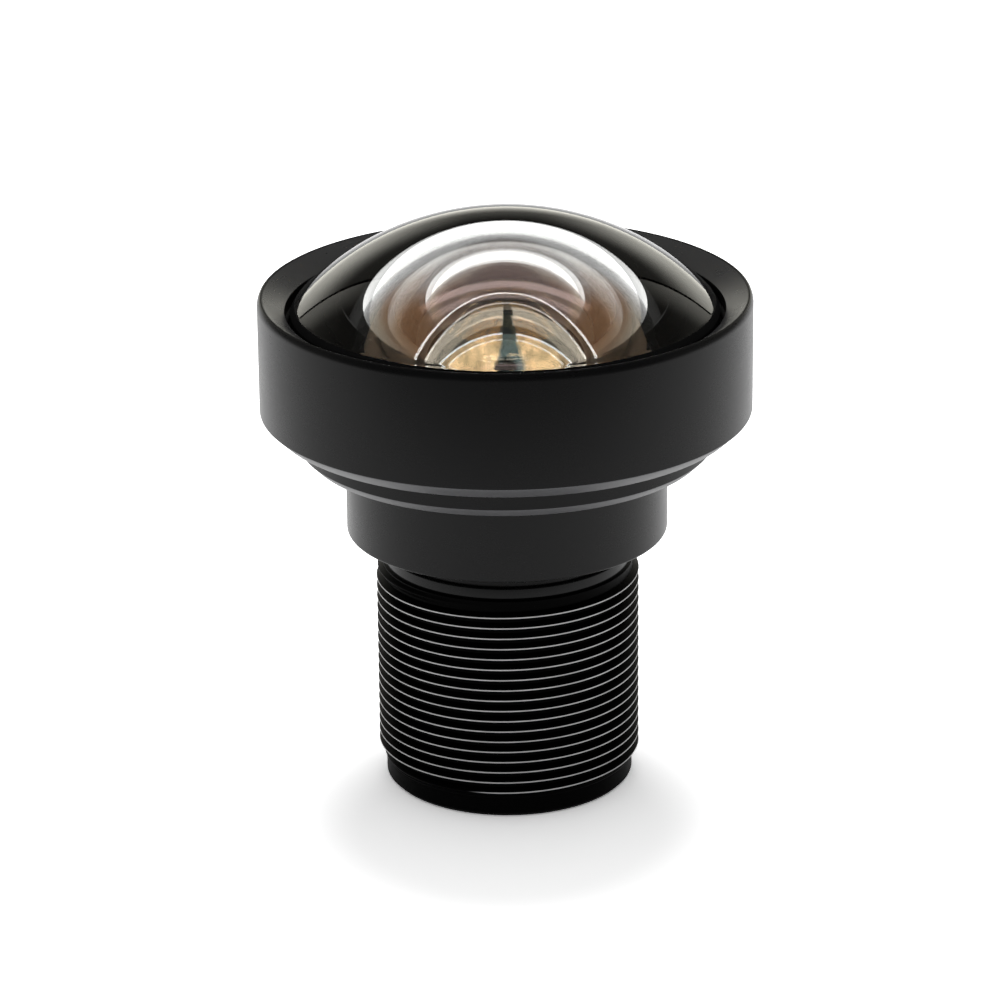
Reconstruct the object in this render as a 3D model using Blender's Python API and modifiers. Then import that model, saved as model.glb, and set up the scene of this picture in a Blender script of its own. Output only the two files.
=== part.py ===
"""Wide-angle S-mount lens (M12 x 0.5), standing on its rear face with the front glass up.

One turned barrel carries the whole lens. The front glass sits on the barrel's head and is clamped there by the
front cap through a soft ring. Under it, the second element and its light shield rest on a stepped spacer and are
held by a threaded ring. The small elements, their spacers and the aperture stop are stacked in the main bore on a
lip near the rear, and a flat filter is held against the lip's other side by a second threaded ring.

Every piece is turned about +Z. The origin is the centre of the rear face.
"""

import math
from dataclasses import dataclass

import bpy

MM = 0.001

# Fits and clearances
SEAT_GAP = 0.02 * MM
BORE_FIT = 0.03 * MM
CEMENT_GAP = 0.01 * MM
THREAD_FIT = 0.03 * MM

# Barrel outside, from the rear face up
THREAD_RADIUS = 5.98 * MM
PILOT_STEP = 0.33 * MM
PILOT_LENGTH = 1.1 * MM
PILOT_CHAMFER = 0.2 * MM
LEAD_IN_LENGTH = 0.3 * MM
THREAD_LENGTH = 8.8 * MM
RUN_OUT_LENGTH = 0.3 * MM
RELIEF_DEPTH = 0.41 * MM
RELIEF_LENGTH = 0.59 * MM
GROOVE_DEPTH = 0.22 * MM
GROOVE_LENGTH = 0.93 * MM
COLLAR_STEP = 1.29 * MM
COLLAR_LENGTH = 3.85 * MM
COLLAR_CHAMFER = 0.15 * MM
UNDERCUT_DEPTH = 0.05 * MM
UNDERCUT_MARGIN = 0.1 * MM
HEAD_LENGTH = 2.75 * MM
HEAD_STEP = 0.82 * MM
HEAD_CHAMFER = 0.4 * MM

# Barrel inside
BARREL_WALL = 0.6 * MM
UPPER_BORE_STEP = 2.63 * MM
LIP_WIDTH = 1.35 * MM
LIP_CLEARANCE = 0.1 * MM
REAR_BORE_STEP = 0.3 * MM
SHOULDER_AIR = 0.1 * MM

# Front element
FRONT_CLEAR_RADIUS = 9.33 * MM
FRONT_DOME_RISE = 3.957 * MM
FRONT_EDGE_HEIGHT = 4.03 * MM
FRONT_BEVEL_WIDTH = 0.27 * MM
FRONT_BEVEL_HEIGHT = 0.32 * MM
FRONT_LEDGE_DROP = 0.95 * MM
FRONT_CENTRE_THICKNESS = 1.55 * MM

# Front cap and the soft ring under its lip
CAP_WALL = 0.83 * MM
CAP_SKIRT = 1.32 * MM
CAP_SKIRT_LAP = 0.25 * MM
CAP_CHAMFER_WIDTH = 0.58 * MM
CAP_CHAMFER_HEIGHT = 0.54 * MM
LIP_THICKNESS = 0.52 * MM
LIP_MARGIN = 0.25 * MM
RIM_RISE = 0.69 * MM
RIM_ROUND = 0.18 * MM
SEAL_SECTION = 0.5 * MM
SEAL_CLEARANCE = 0.075 * MM

# Second element, its retaining ring and its light shield
SECOND_FLANGE_WIDTH = 0.7 * MM
SECOND_FLANGE_THICKNESS = 0.5 * MM
SECOND_HEAD_GAP = 1.3 * MM
SECOND_EDGE_AIR = 1.46 * MM
SECOND_FRONT_RISE = 4.28 * MM
SECOND_CENTRE_THICKNESS = 1.25 * MM
SECOND_WALL = 2.05 * MM
RETAINER_THICKNESS = 0.66 * MM
RETAINER_SINK = 0.04 * MM
RETAINER_RIM = 0.33 * MM
RETAINER_HEAD_GAP = 0.06 * MM
SHIELD_THICKNESS = 0.1 * MM
SHIELD_OVERHANG = 0.4 * MM
SPACER_HEAD = 0.6 * MM

# Small elements of the main stack. An edge is the thickness at the rim, and a rise is how far the centre of a
# surface stands out beyond its edge. The seat is the flat ring on which an element rests.
THIRD_EDGE = 1.18 * MM
THIRD_FRONT_RISE = 0.73 * MM
THIRD_REAR_RISE = 0.98 * MM
FOURTH_EDGE = 1.08 * MM
FOURTH_FRONT_RISE = 0.62 * MM
FOURTH_REAR_RISE = 0.65 * MM
FIFTH_EDGE = 0.8 * MM
FIFTH_FRONT_RISE = 1.06 * MM
CEMENTED_RISE = 1.63 * MM
SIXTH_EDGE = 2.5 * MM
SIXTH_REAR_HOLLOW = 0.2 * MM
SEVENTH_EDGE = 1.2 * MM
SEVENTH_FRONT_RISE = 1.35 * MM
SEVENTH_REAR_RISE = 0.62 * MM
ELEMENT_SEAT = 0.6 * MM

# Spacers and stop of the main stack, with the air kept between the centres of two surfaces
SPACER_WALL = 0.45 * MM
STOP_THICKNESS = 0.12 * MM
STOP_HOLE_RADIUS = 1.35 * MM
STOP_AIR = 0.21 * MM
MIDDLE_AIR = 0.29 * MM
FRONT_AIR = 0.23 * MM
REAR_AIR = 0.9 * MM

# Rear end
FILTER_THICKNESS = 0.3 * MM
FILTER_AIR = 0.13 * MM
REAR_RING_THICKNESS = 0.63 * MM
REAR_RING_WIDTH = 1.02 * MM
REAR_RING_SINK = 0.2 * MM

# Spanner slots of the two threaded rings
SLOT_WIDTH = 0.6 * MM
SLOT_DEPTH = 0.35 * MM

# Facets
OUTER_STEPS = 56
INNER_STEPS = 28
DOME_POINTS = 10
HOLLOW_POINTS = 8
HEAD_POINTS = 7
SURFACE_POINTS = 4
ROUND_POINTS = 3
SEAL_POINTS = 6
MERGE_DISTANCE = 0.001 * MM
SHARP_ANGLE = math.radians(24)


@dataclass(frozen=True)
class Finish:
    """A surface's colour (linear), roughness and metallic value, with the index of a clear material."""

    name: str
    colour: tuple
    roughness: float
    metallic: float = 0.0
    index: float = 0.0


ANODISED = Finish("anodised_black", (0.018, 0.018, 0.020), 0.42, 0.6)
BLACKENED = Finish("blackened_metal", (0.012, 0.012, 0.013), 0.6, 0.4)
SOFT_RING = Finish("soft_ring", (0.015, 0.015, 0.015), 0.75)
FOIL = Finish("blackened_foil", (0.01, 0.01, 0.01), 0.7)
FRONT_GLASS = Finish("front_glass", (0.93, 0.95, 0.90), 0.0, index=1.77)
SECOND_GLASS = Finish("second_glass", (0.92, 0.90, 0.94), 0.0, index=1.62)
CROWN_GLASS = Finish("crown_glass", (0.94, 0.95, 0.92), 0.0, index=1.52)
FLINT_GLASS = Finish("flint_glass", (0.94, 0.92, 0.88), 0.0, index=1.81)
FILTER_GLASS = Finish("filter_glass", (0.72, 0.93, 0.90), 0.0, index=1.52)


@dataclass(frozen=True)
class Element:
    """A small lens of the main stack: edge thickness, and the rise of each surface (positive bulges out).

    The seat is the flat ring round the rear surface, on which the lens rests.
    """

    name: str
    finish: Finish
    edge: float
    front_rise: float
    rear_rise: float
    seat: float = ELEMENT_SEAT


THIRD = Element("third_element", FLINT_GLASS, THIRD_EDGE, THIRD_FRONT_RISE, THIRD_REAR_RISE)
FOURTH = Element("fourth_element", CROWN_GLASS, FOURTH_EDGE, FOURTH_FRONT_RISE, FOURTH_REAR_RISE)
FIFTH = Element("fifth_element", CROWN_GLASS, FIFTH_EDGE, FIFTH_FRONT_RISE, CEMENTED_RISE)
SIXTH = Element("sixth_element", FLINT_GLASS, SIXTH_EDGE, -CEMENTED_RISE, -SIXTH_REAR_HOLLOW)
SEVENTH = Element(
    "seventh_element",
    CROWN_GLASS,
    SEVENTH_EDGE,
    SEVENTH_FRONT_RISE,
    SEVENTH_REAR_RISE,
    seat=LIP_WIDTH + LIP_CLEARANCE,
)


@dataclass(frozen=True)
class Radii:
    """The radii that follow from the thread and from the front glass."""

    bore: float
    upper_bore: float
    counterbore: float
    rear_bore: float
    lip: float
    element: float
    second_head: float
    hollow: float
    front_edge: float
    cap_bore: float
    cap: float
    flange: float
    head: float
    collar: float


def work_out_radii():
    """Work the radii out from the thread inwards and from the front glass outwards."""
    bore = THREAD_RADIUS - RELIEF_DEPTH - GROOVE_DEPTH - BARREL_WALL
    upper_bore = bore + UPPER_BORE_STEP
    element = bore - BORE_FIT
    second_head = upper_bore - BORE_FIT - SECOND_FLANGE_WIDTH
    front_edge = FRONT_CLEAR_RADIUS + FRONT_BEVEL_WIDTH
    cap_bore = front_edge + SEAL_SECTION + 2 * SEAL_CLEARANCE
    flange = cap_bore - THREAD_FIT
    return Radii(
        bore=bore,
        upper_bore=upper_bore,
        counterbore=upper_bore + RETAINER_RIM,
        rear_bore=bore - REAR_BORE_STEP,
        lip=bore - LIP_WIDTH,
        element=element,
        second_head=second_head,
        hollow=second_head + SECOND_HEAD_GAP,
        front_edge=front_edge,
        cap_bore=cap_bore,
        cap=cap_bore + CAP_WALL,
        flange=flange,
        head=flange - HEAD_STEP,
        collar=THREAD_RADIUS + COLLAR_STEP,
    )


@dataclass(frozen=True)
class Heights:
    """The levels along the axis that more than one piece shares."""

    thread_start: float
    thread_end: float
    relief_end: float
    collar: float
    head: float
    seat: float
    retainer: float
    second_flange: float
    second_rear: float
    shield: float
    spacer_top: float
    front_rear: float
    front_edge: float
    front_ledge: float
    hollow_apex: float
    hollow_centre: float
    lip_under: float
    cap_bottom: float
    filter_top: float
    bore_seat: float


def work_out_heights(radii):
    """Add the lengths up from the rear face, and hang the front group from the head's seat.

    Args:
        radii: The shared radii.

    Returns:
        The shared levels, as Heights.
    """
    thread_start = PILOT_LENGTH + LEAD_IN_LENGTH
    thread_end = thread_start + THREAD_LENGTH
    relief_end = thread_end + RUN_OUT_LENGTH + RELIEF_LENGTH
    collar = relief_end + GROOVE_LENGTH
    head = collar + COLLAR_LENGTH
    seat = head + HEAD_LENGTH

    retainer = seat - RETAINER_SINK - RETAINER_THICKNESS
    second_flange = retainer - SEAT_GAP
    second_rear = second_flange - SECOND_FLANGE_THICKNESS
    shield = second_rear - SEAT_GAP - SHIELD_THICKNESS

    front_rear = seat + SEAT_GAP
    front_edge = front_rear + FRONT_EDGE_HEIGHT
    front_ledge = front_edge - FRONT_BEVEL_HEIGHT - FRONT_LEDGE_DROP
    front_apex = front_edge + FRONT_DOME_RISE
    hollow_apex = front_apex - FRONT_CENTRE_THICKNESS

    filter_top = REAR_RING_SINK + REAR_RING_THICKNESS + SEAT_GAP + FILTER_THICKNESS
    bore_seat = filter_top + FILTER_AIR + SEVENTH.rear_rise
    return Heights(
        thread_start=thread_start,
        thread_end=thread_end,
        relief_end=relief_end,
        collar=collar,
        head=head,
        seat=seat,
        retainer=retainer,
        second_flange=second_flange,
        second_rear=second_rear,
        shield=shield,
        spacer_top=shield - SEAT_GAP,
        front_rear=front_rear,
        front_edge=front_edge,
        front_ledge=front_ledge,
        hollow_apex=hollow_apex,
        hollow_centre=hollow_apex - radii.hollow,
        lip_under=front_ledge + SEAL_SECTION + 2 * SEAT_GAP,
        cap_bottom=seat - CAP_SKIRT,
        filter_top=filter_top,
        bore_seat=bore_seat,
    )


def clear_scene():
    """Remove whatever the open file holds."""
    for thing in list(bpy.data.objects):
        bpy.data.objects.remove(thing, do_unlink=True)


def make_collection(name):
    """Make an empty collection in the scene."""
    collection = bpy.data.collections.new(name)
    bpy.context.scene.collection.children.link(collection)
    return collection


def make_material(finish):
    """Make the Principled material of a finish, or return it if it is there already."""
    material = bpy.data.materials.get(finish.name)
    if material:
        return material
    material = bpy.data.materials.new(finish.name)
    material.use_nodes = True
    shader = material.node_tree.nodes["Principled BSDF"]
    shader.inputs["Base Color"].default_value = (*finish.colour, 1.0)
    shader.inputs["Roughness"].default_value = finish.roughness
    shader.inputs["Metallic"].default_value = finish.metallic
    if finish.index:
        shader.inputs["IOR"].default_value = finish.index
        shader.inputs["Transmission Weight"].default_value = 1.0
    material.diffuse_color = (*finish.colour, 1.0)
    return material


def cap_arc(radius, edge_z, rise, points):
    """Points of a spherical surface from the axis out to its edge.

    The sphere through an edge of radius a and a centre that stands the rise s above it has the radius
    (a squared + s squared) / 2s. A negative rise makes the surface hollow.

    Args:
        radius: The edge's radius.
        edge_z: The edge's level.
        rise: How far the centre of the surface stands above the edge.
        points: The number of steps.

    Returns:
        A list of (radius, z) from the axis to the edge.
    """
    sphere = (radius * radius + rise * rise) / (2 * rise)
    centre_z = edge_z + rise - sphere
    reach = math.asin(radius / abs(sphere))
    angles = [reach * step / points for step in range(points + 1)]
    return [(abs(sphere) * math.sin(a), centre_z + sphere * math.cos(a)) for a in angles]


def hollow_arc(sphere, apex_z, rim_z, points):
    """Points of a deep spherical hollow from its rim up to the axis, with a straight wall below its equator.

    Args:
        sphere: The hollow's radius.
        apex_z: The level of its deepest point.
        rim_z: The level at which it opens.
        points: The number of steps along the round part.

    Returns:
        A list of (radius, z) from the rim to the axis.
    """
    centre_z = apex_z - sphere
    start = math.asin((rim_z - centre_z) / sphere) if rim_z > centre_z else 0.0
    angles = [start + (math.pi / 2 - start) * step / points for step in range(points + 1)]
    arc = [(sphere * math.cos(a), centre_z + sphere * math.sin(a)) for a in angles[:-1]]
    wall = [(sphere, rim_z)] if rim_z < centre_z else []
    return wall + arc + [(0.0, apex_z)]


def turned(collection, name, finish, outline, steps, ring=True):
    """Turn an outline of (radius, z) points about +Z into one closed solid.

    Args:
        collection: The collection that takes the object.
        name: The object's name.
        finish: Its Finish.
        outline: Points that run down the outer side, top to bottom.
        steps: Facets in a full turn.
        ring: True for a closed outline clear of the axis, False for one that starts and ends on it.

    Returns:
        The new object.
    """
    mesh = bpy.data.meshes.new(name)
    count = len(outline)
    edges = [(i, i + 1) for i in range(count - 1)]
    if ring:
        edges.append((count - 1, 0))
    mesh.from_pydata([(r, 0.0, z) for r, z in outline], edges, [])
    piece = bpy.data.objects.new(name, mesh)
    collection.objects.link(piece)
    mesh.materials.append(make_material(finish))

    screw = piece.modifiers.new("turn", "SCREW")
    screw.axis = "Z"
    screw.angle = math.tau
    screw.steps = steps
    screw.render_steps = steps
    screw.use_merge_vertices = True
    screw.merge_threshold = MERGE_DISTANCE
    screw.use_smooth_shade = True
    apply_modifiers(piece)
    piece.data.set_sharp_from_angle(angle=SHARP_ANGLE)
    return piece


def apply_modifiers(piece):
    """Put the evaluated mesh in place of the object's own and drop its modifiers."""
    evaluated = piece.evaluated_get(bpy.context.evaluated_depsgraph_get())
    old = piece.data
    piece.data = bpy.data.meshes.new_from_object(evaluated)
    piece.data.name = piece.name
    piece.modifiers.clear()
    bpy.data.meshes.remove(old)


def cut_slots(piece, cutters, rim_radius, face_z, upwards):
    """Cut a straight spanner slot across both sides of a threaded ring.

    Args:
        piece: The ring.
        cutters: The collection for the cutting block.
        rim_radius: The ring's outer radius.
        face_z: The level of the slotted face.
        upwards: True if that face looks along +Z.
    """
    overrun = SLOT_DEPTH
    middle = face_z + (overrun - SLOT_DEPTH) / 2 * (1 if upwards else -1)
    bpy.ops.mesh.primitive_cube_add(size=1.0, location=(0.0, 0.0, middle))
    block = bpy.context.object
    block.name = piece.name + "_slot_cutter"
    block.scale = (2 * rim_radius + 2 * overrun, SLOT_WIDTH, SLOT_DEPTH + overrun)
    bpy.ops.object.transform_apply(location=False, rotation=False, scale=True)
    for owner in list(block.users_collection):
        owner.objects.unlink(block)
    cutters.objects.link(block)
    block.hide_render = True
    block.display_type = "WIRE"
    cut = piece.modifiers.new("slots", "BOOLEAN")
    cut.operation = "DIFFERENCE"
    cut.solver = "EXACT"
    cut.object = block


def make_barrel(collection, radii, heights, spacer_shoulder):
    """Turn the barrel: outside from the head's seat down to the rear face, then the stepped bore back up.

    The relief above the thread is cut a little into the collar's shoulder, so that a holder seats flat on it.

    Args:
        collection: The collection that takes the barrel.
        radii: The shared radii.
        heights: The shared levels.
        spacer_shoulder: The level of the step under the front spacer's head.

    Returns:
        The barrel.
    """
    relief = THREAD_RADIUS - RELIEF_DEPTH
    groove = relief - GROOVE_DEPTH
    pilot = THREAD_RADIUS - PILOT_STEP
    undercut = THREAD_RADIUS + UNDERCUT_MARGIN
    flange_bottom = heights.cap_bottom + CAP_SKIRT_LAP
    outside = [
        (radii.flange, heights.seat),
        (radii.flange, flange_bottom),
        (radii.head, flange_bottom),
        (radii.head, heights.head + HEAD_CHAMFER),
        (radii.head - HEAD_CHAMFER, heights.head),
        (radii.collar, heights.head),
        (radii.collar, heights.collar + COLLAR_CHAMFER),
        (radii.collar - COLLAR_CHAMFER, heights.collar),
        (undercut, heights.collar),
        (undercut, heights.collar + UNDERCUT_DEPTH),
        (groove, heights.collar + UNDERCUT_DEPTH),
        (groove, heights.relief_end),
        (relief, heights.relief_end),
        (relief, heights.thread_end + RUN_OUT_LENGTH),
        (THREAD_RADIUS, heights.thread_end),
        (THREAD_RADIUS, heights.thread_start),
        (pilot, PILOT_LENGTH),
        (pilot, PILOT_CHAMFER),
        (pilot - PILOT_CHAMFER, 0.0),
    ]
    lip_under = heights.filter_top + SEAT_GAP
    lip_top = heights.bore_seat - SEAT_GAP
    upper_floor = spacer_shoulder - SHOULDER_AIR
    counterbore_floor = heights.retainer - SHOULDER_AIR
    inside = [
        (radii.rear_bore, 0.0),
        (radii.rear_bore, lip_under),
        (radii.lip, lip_under),
        (radii.lip, lip_top),
        (radii.bore, lip_top),
        (radii.bore, upper_floor),
        (radii.upper_bore, upper_floor),
        (radii.upper_bore, counterbore_floor),
        (radii.counterbore, counterbore_floor),
        (radii.counterbore, heights.seat),
    ]
    return turned(collection, "barrel", ANODISED, outside + inside, OUTER_STEPS)


def make_front_cap(collection, radii, heights):
    """Turn the cap: rounded crest, straight wall, chamfered skirt, and the cone that falls inwards on the rim."""
    lip = radii.front_edge + LIP_MARGIN
    lip_edge = heights.lip_under + LIP_THICKNESS
    crest = lip_edge + RIM_RISE
    angles = [math.pi / 2 * step / ROUND_POINTS for step in range(ROUND_POINTS + 1)]
    round_r = radii.cap - RIM_ROUND
    round_z = crest - RIM_ROUND
    rounded = [(round_r + RIM_ROUND * math.sin(a), round_z + RIM_ROUND * math.cos(a)) for a in angles]
    outline = rounded + [
        (radii.cap, heights.cap_bottom + CAP_CHAMFER_HEIGHT),
        (radii.cap - CAP_CHAMFER_WIDTH, heights.cap_bottom),
        (radii.cap_bore, heights.cap_bottom),
        (radii.cap_bore, heights.lip_under),
        (lip, heights.lip_under),
        (lip, lip_edge),
    ]
    return turned(collection, "front_cap", ANODISED, outline, OUTER_STEPS)


def make_front_seal(collection, radii, heights):
    """Lay the soft ring on the front glass's ledge, midway between its edge and the cap's bore."""
    bpy.ops.mesh.primitive_torus_add(
        location=(0.0, 0.0, heights.front_ledge + SEAT_GAP + SEAL_SECTION / 2),
        major_radius=(radii.front_edge + radii.cap_bore) / 2,
        minor_radius=SEAL_SECTION / 2,
        major_segments=OUTER_STEPS,
        minor_segments=SEAL_POINTS,
    )
    seal = bpy.context.object
    seal.name = "front_seal"
    seal.data.materials.append(make_material(SOFT_RING))
    seal.data.shade_smooth()
    for owner in list(seal.users_collection):
        owner.objects.unlink(seal)
    collection.objects.link(seal)
    return seal


def make_front_element(collection, radii, heights):
    """Turn the front glass: dome, blackened bevel, edge, ledge for the soft ring, and the deep hollow behind."""
    shoulder = radii.cap_bore - BORE_FIT
    outline = cap_arc(FRONT_CLEAR_RADIUS, heights.front_edge, FRONT_DOME_RISE, DOME_POINTS)
    outline += [
        (radii.front_edge, heights.front_edge - FRONT_BEVEL_HEIGHT),
        (radii.front_edge, heights.front_ledge),
        (shoulder, heights.front_ledge),
        (shoulder, heights.front_rear),
    ]
    outline += hollow_arc(radii.hollow, heights.hollow_apex, heights.front_rear, HOLLOW_POINTS)
    return turned(collection, "front_element", FRONT_GLASS, outline, OUTER_STEPS, ring=False)


def make_inner_retainer(collection, cutters, radii, heights):
    """Turn the threaded ring that holds the second element, with a spanner slot on each side."""
    outer = radii.counterbore - THREAD_FIT
    inner = radii.second_head + RETAINER_HEAD_GAP
    top = heights.retainer + RETAINER_THICKNESS
    outline = [(outer, top), (outer, heights.retainer), (inner, heights.retainer), (inner, top)]
    ring = turned(collection, "inner_retainer", BLACKENED, outline, OUTER_STEPS)
    cut_slots(ring, cutters, outer, top, upwards=True)
    return ring


def make_second_element(collection, radii, heights):
    """Turn the second glass: a tall head that reaches into the front hollow, on a thin mounting flange."""
    head = radii.second_head
    hollow_wall = math.sqrt(radii.hollow**2 - head**2)
    head_edge = heights.hollow_centre + hollow_wall - SECOND_EDGE_AIR
    apex = head_edge + SECOND_FRONT_RISE
    flange = radii.upper_bore - BORE_FIT
    outline = cap_arc(head, head_edge, SECOND_FRONT_RISE, HEAD_POINTS)
    outline += [
        (head, heights.second_flange),
        (flange, heights.second_flange),
        (flange, heights.second_rear),
    ]
    outline += hollow_arc(head - SECOND_WALL, apex - SECOND_CENTRE_THICKNESS, heights.second_rear, HOLLOW_POINTS)
    return turned(collection, "second_element", SECOND_GLASS, outline, OUTER_STEPS, ring=False)


def make_flat_ring(collection, name, finish, outer, inner, bottom, top):
    """Turn a plain ring of square section."""
    outline = [(outer, top), (outer, bottom), (inner, bottom), (inner, top)]
    return turned(collection, name, finish, outline, INNER_STEPS)


def make_light_shield(collection, radii, heights):
    """Lay the blackened foil between the second glass and the spacer."""
    outer = radii.upper_bore - BORE_FIT
    inner = radii.second_head - SECOND_WALL - SHIELD_OVERHANG
    bottom = heights.shield
    return make_flat_ring(collection, "light_shield", FOIL, outer, inner, bottom, bottom + SHIELD_THICKNESS)


def make_element(collection, element, radii, bottom):
    """Turn one small element whose rear edge plane lies at the given level."""
    top = bottom + element.edge
    outline = cap_arc(radii.element - ELEMENT_SEAT, top, element.front_rise, SURFACE_POINTS)
    outline += [(radii.element, top), (radii.element, bottom)]
    outline += reversed(cap_arc(radii.element - element.seat, bottom, -element.rear_rise, SURFACE_POINTS))
    return turned(collection, element.name, element.finish, outline, INNER_STEPS, ring=False)


def make_stack(collection, radii, heights):
    """Pile the small elements, spacers and stop up from the bore's lip.

    A spacer is as long as the air it keeps between two surfaces, plus what they bulge into it.

    Args:
        collection: The collection that takes the pieces.
        radii: The shared radii.
        heights: The shared levels.

    Returns:
        The level of the third element's front edge.
    """
    bored = radii.element - SPACER_WALL

    def spacer(name, bottom, length):
        make_flat_ring(collection, name, BLACKENED, radii.element, bored, bottom, bottom + length)
        return bottom + length + SEAT_GAP

    def lens(element, bottom, gap=SEAT_GAP):
        make_element(collection, element, radii, bottom)
        return bottom + element.edge + gap

    level = lens(SEVENTH, heights.bore_seat)
    level = spacer("rear_spacer", level, SEVENTH.front_rise + REAR_AIR + SIXTH.rear_rise)
    level = lens(SIXTH, level, gap=CEMENT_GAP)
    level = lens(FIFTH, level)
    level = spacer("middle_spacer", level, FIFTH.front_rise + MIDDLE_AIR)
    make_flat_ring(
        collection, "aperture_stop", FOIL, radii.element, STOP_HOLE_RADIUS, level, level + STOP_THICKNESS
    )
    level += STOP_THICKNESS + SEAT_GAP
    level = spacer("stop_spacer", level, STOP_AIR + FOURTH.rear_rise)
    level = lens(FOURTH, level)
    level = spacer("lens_spacer", level, FOURTH.front_rise + FRONT_AIR + THIRD.rear_rise)
    return lens(THIRD, level)


def make_front_spacer(collection, radii, bottom, shoulder, top):
    """Turn the stepped spacer that takes up the length left between the third and the second element."""
    foot = radii.element
    head = radii.upper_bore - BORE_FIT
    bored = radii.element - SPACER_WALL
    outline = [(head, top), (head, shoulder), (foot, shoulder), (foot, bottom), (bored, bottom), (bored, top)]
    return turned(collection, "front_spacer", BLACKENED, outline, INNER_STEPS)


def make_rear_group(collection, cutters, radii, heights):
    """Lay the filter against the lip and turn the threaded ring that holds it from behind."""
    outer = radii.rear_bore - BORE_FIT
    filter_bottom = heights.filter_top - FILTER_THICKNESS
    bpy.ops.mesh.primitive_cylinder_add(
        vertices=INNER_STEPS,
        radius=outer,
        depth=FILTER_THICKNESS,
        location=(0.0, 0.0, filter_bottom + FILTER_THICKNESS / 2),
    )
    plate = bpy.context.object
    plate.name = "ir_cut_filter"
    plate.data.materials.append(make_material(FILTER_GLASS))
    for owner in list(plate.users_collection):
        owner.objects.unlink(plate)
    collection.objects.link(plate)

    ring = make_flat_ring(
        collection,
        "rear_retainer",
        BLACKENED,
        outer,
        outer - REAR_RING_WIDTH,
        REAR_RING_SINK,
        REAR_RING_SINK + REAR_RING_THICKNESS,
    )
    cut_slots(ring, cutters, outer, REAR_RING_SINK, upwards=False)


def main():
    """Build the lens."""
    clear_scene()
    collection = make_collection("s_mount_lens")
    cutters = make_collection("cutters")
    radii = work_out_radii()
    heights = work_out_heights(radii)
    shoulder = heights.spacer_top - SPACER_HEAD

    make_barrel(collection, radii, heights, shoulder)
    make_front_cap(collection, radii, heights)
    make_front_seal(collection, radii, heights)
    make_front_element(collection, radii, heights)
    make_inner_retainer(collection, cutters, radii, heights)
    make_second_element(collection, radii, heights)
    make_light_shield(collection, radii, heights)
    stack_top = make_stack(collection, radii, heights)
    make_front_spacer(collection, radii, stack_top, shoulder, heights.spacer_top)
    make_rear_group(collection, cutters, radii, heights)


main()
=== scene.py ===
"""Looks of the wide-angle S-mount lens.

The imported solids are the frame. Each turned piece is made again here as a fine surface of revolution with
its edges broken, the barrel gets its true helical thread, and the glass is real refracting glass with
coated surfaces and blackened edges. The lens stands on a pale floor in a soft, bright tent that is dark
towards the camera.
"""

from __future__ import annotations

import logging
import math
from dataclasses import dataclass
from enum import Enum
from typing import Optional, Sequence, Union

import bmesh
import bpy
import numpy as np
from mathutils import Matrix, Vector

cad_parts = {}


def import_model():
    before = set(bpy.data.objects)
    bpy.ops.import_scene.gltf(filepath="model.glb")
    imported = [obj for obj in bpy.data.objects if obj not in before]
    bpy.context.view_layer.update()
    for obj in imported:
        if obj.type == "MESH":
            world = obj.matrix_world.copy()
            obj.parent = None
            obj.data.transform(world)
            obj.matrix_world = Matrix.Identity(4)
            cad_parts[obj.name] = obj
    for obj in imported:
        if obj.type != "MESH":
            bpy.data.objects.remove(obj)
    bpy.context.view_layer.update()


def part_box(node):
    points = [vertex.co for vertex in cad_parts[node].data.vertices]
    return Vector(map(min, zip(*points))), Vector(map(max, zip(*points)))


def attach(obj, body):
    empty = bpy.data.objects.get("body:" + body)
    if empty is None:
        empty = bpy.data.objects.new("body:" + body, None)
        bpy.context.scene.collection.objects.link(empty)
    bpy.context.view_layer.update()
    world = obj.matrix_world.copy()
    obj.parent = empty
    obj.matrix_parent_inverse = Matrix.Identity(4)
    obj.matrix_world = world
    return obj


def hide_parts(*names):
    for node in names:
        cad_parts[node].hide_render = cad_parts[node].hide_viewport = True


LOG = logging.getLogger("s_mount_lens")
MM = 0.001
BODY = "root"
SHARP_DEG = 24.0
MERGE_DISTANCE = 2e-9
WHITE = (1.0, 1.0, 1.0, 1.0)

# Edge radii of the turned pieces, in millimetres
EDGE = 0.05
SMALL_EDGE = 0.03
TIGHT_EDGE = 0.02

Number = Union[int, float]
Colour = tuple[float, float, float]


class Steps(Enum):
    """How finely a piece is turned."""

    FINE = 288
    PLAIN = 192
    HIDDEN = 128


class Axis(Enum):
    """Axes of object space, by their place in a vector."""

    X = 0
    Y = 1
    Z = 2


def opaque(colour: Colour, by: float = 1.0) -> tuple[float, float, float, float]:
    """A colour times a number, with full alpha."""
    return (colour[0] * by, colour[1] * by, colour[2] * by, 1.0)


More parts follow.
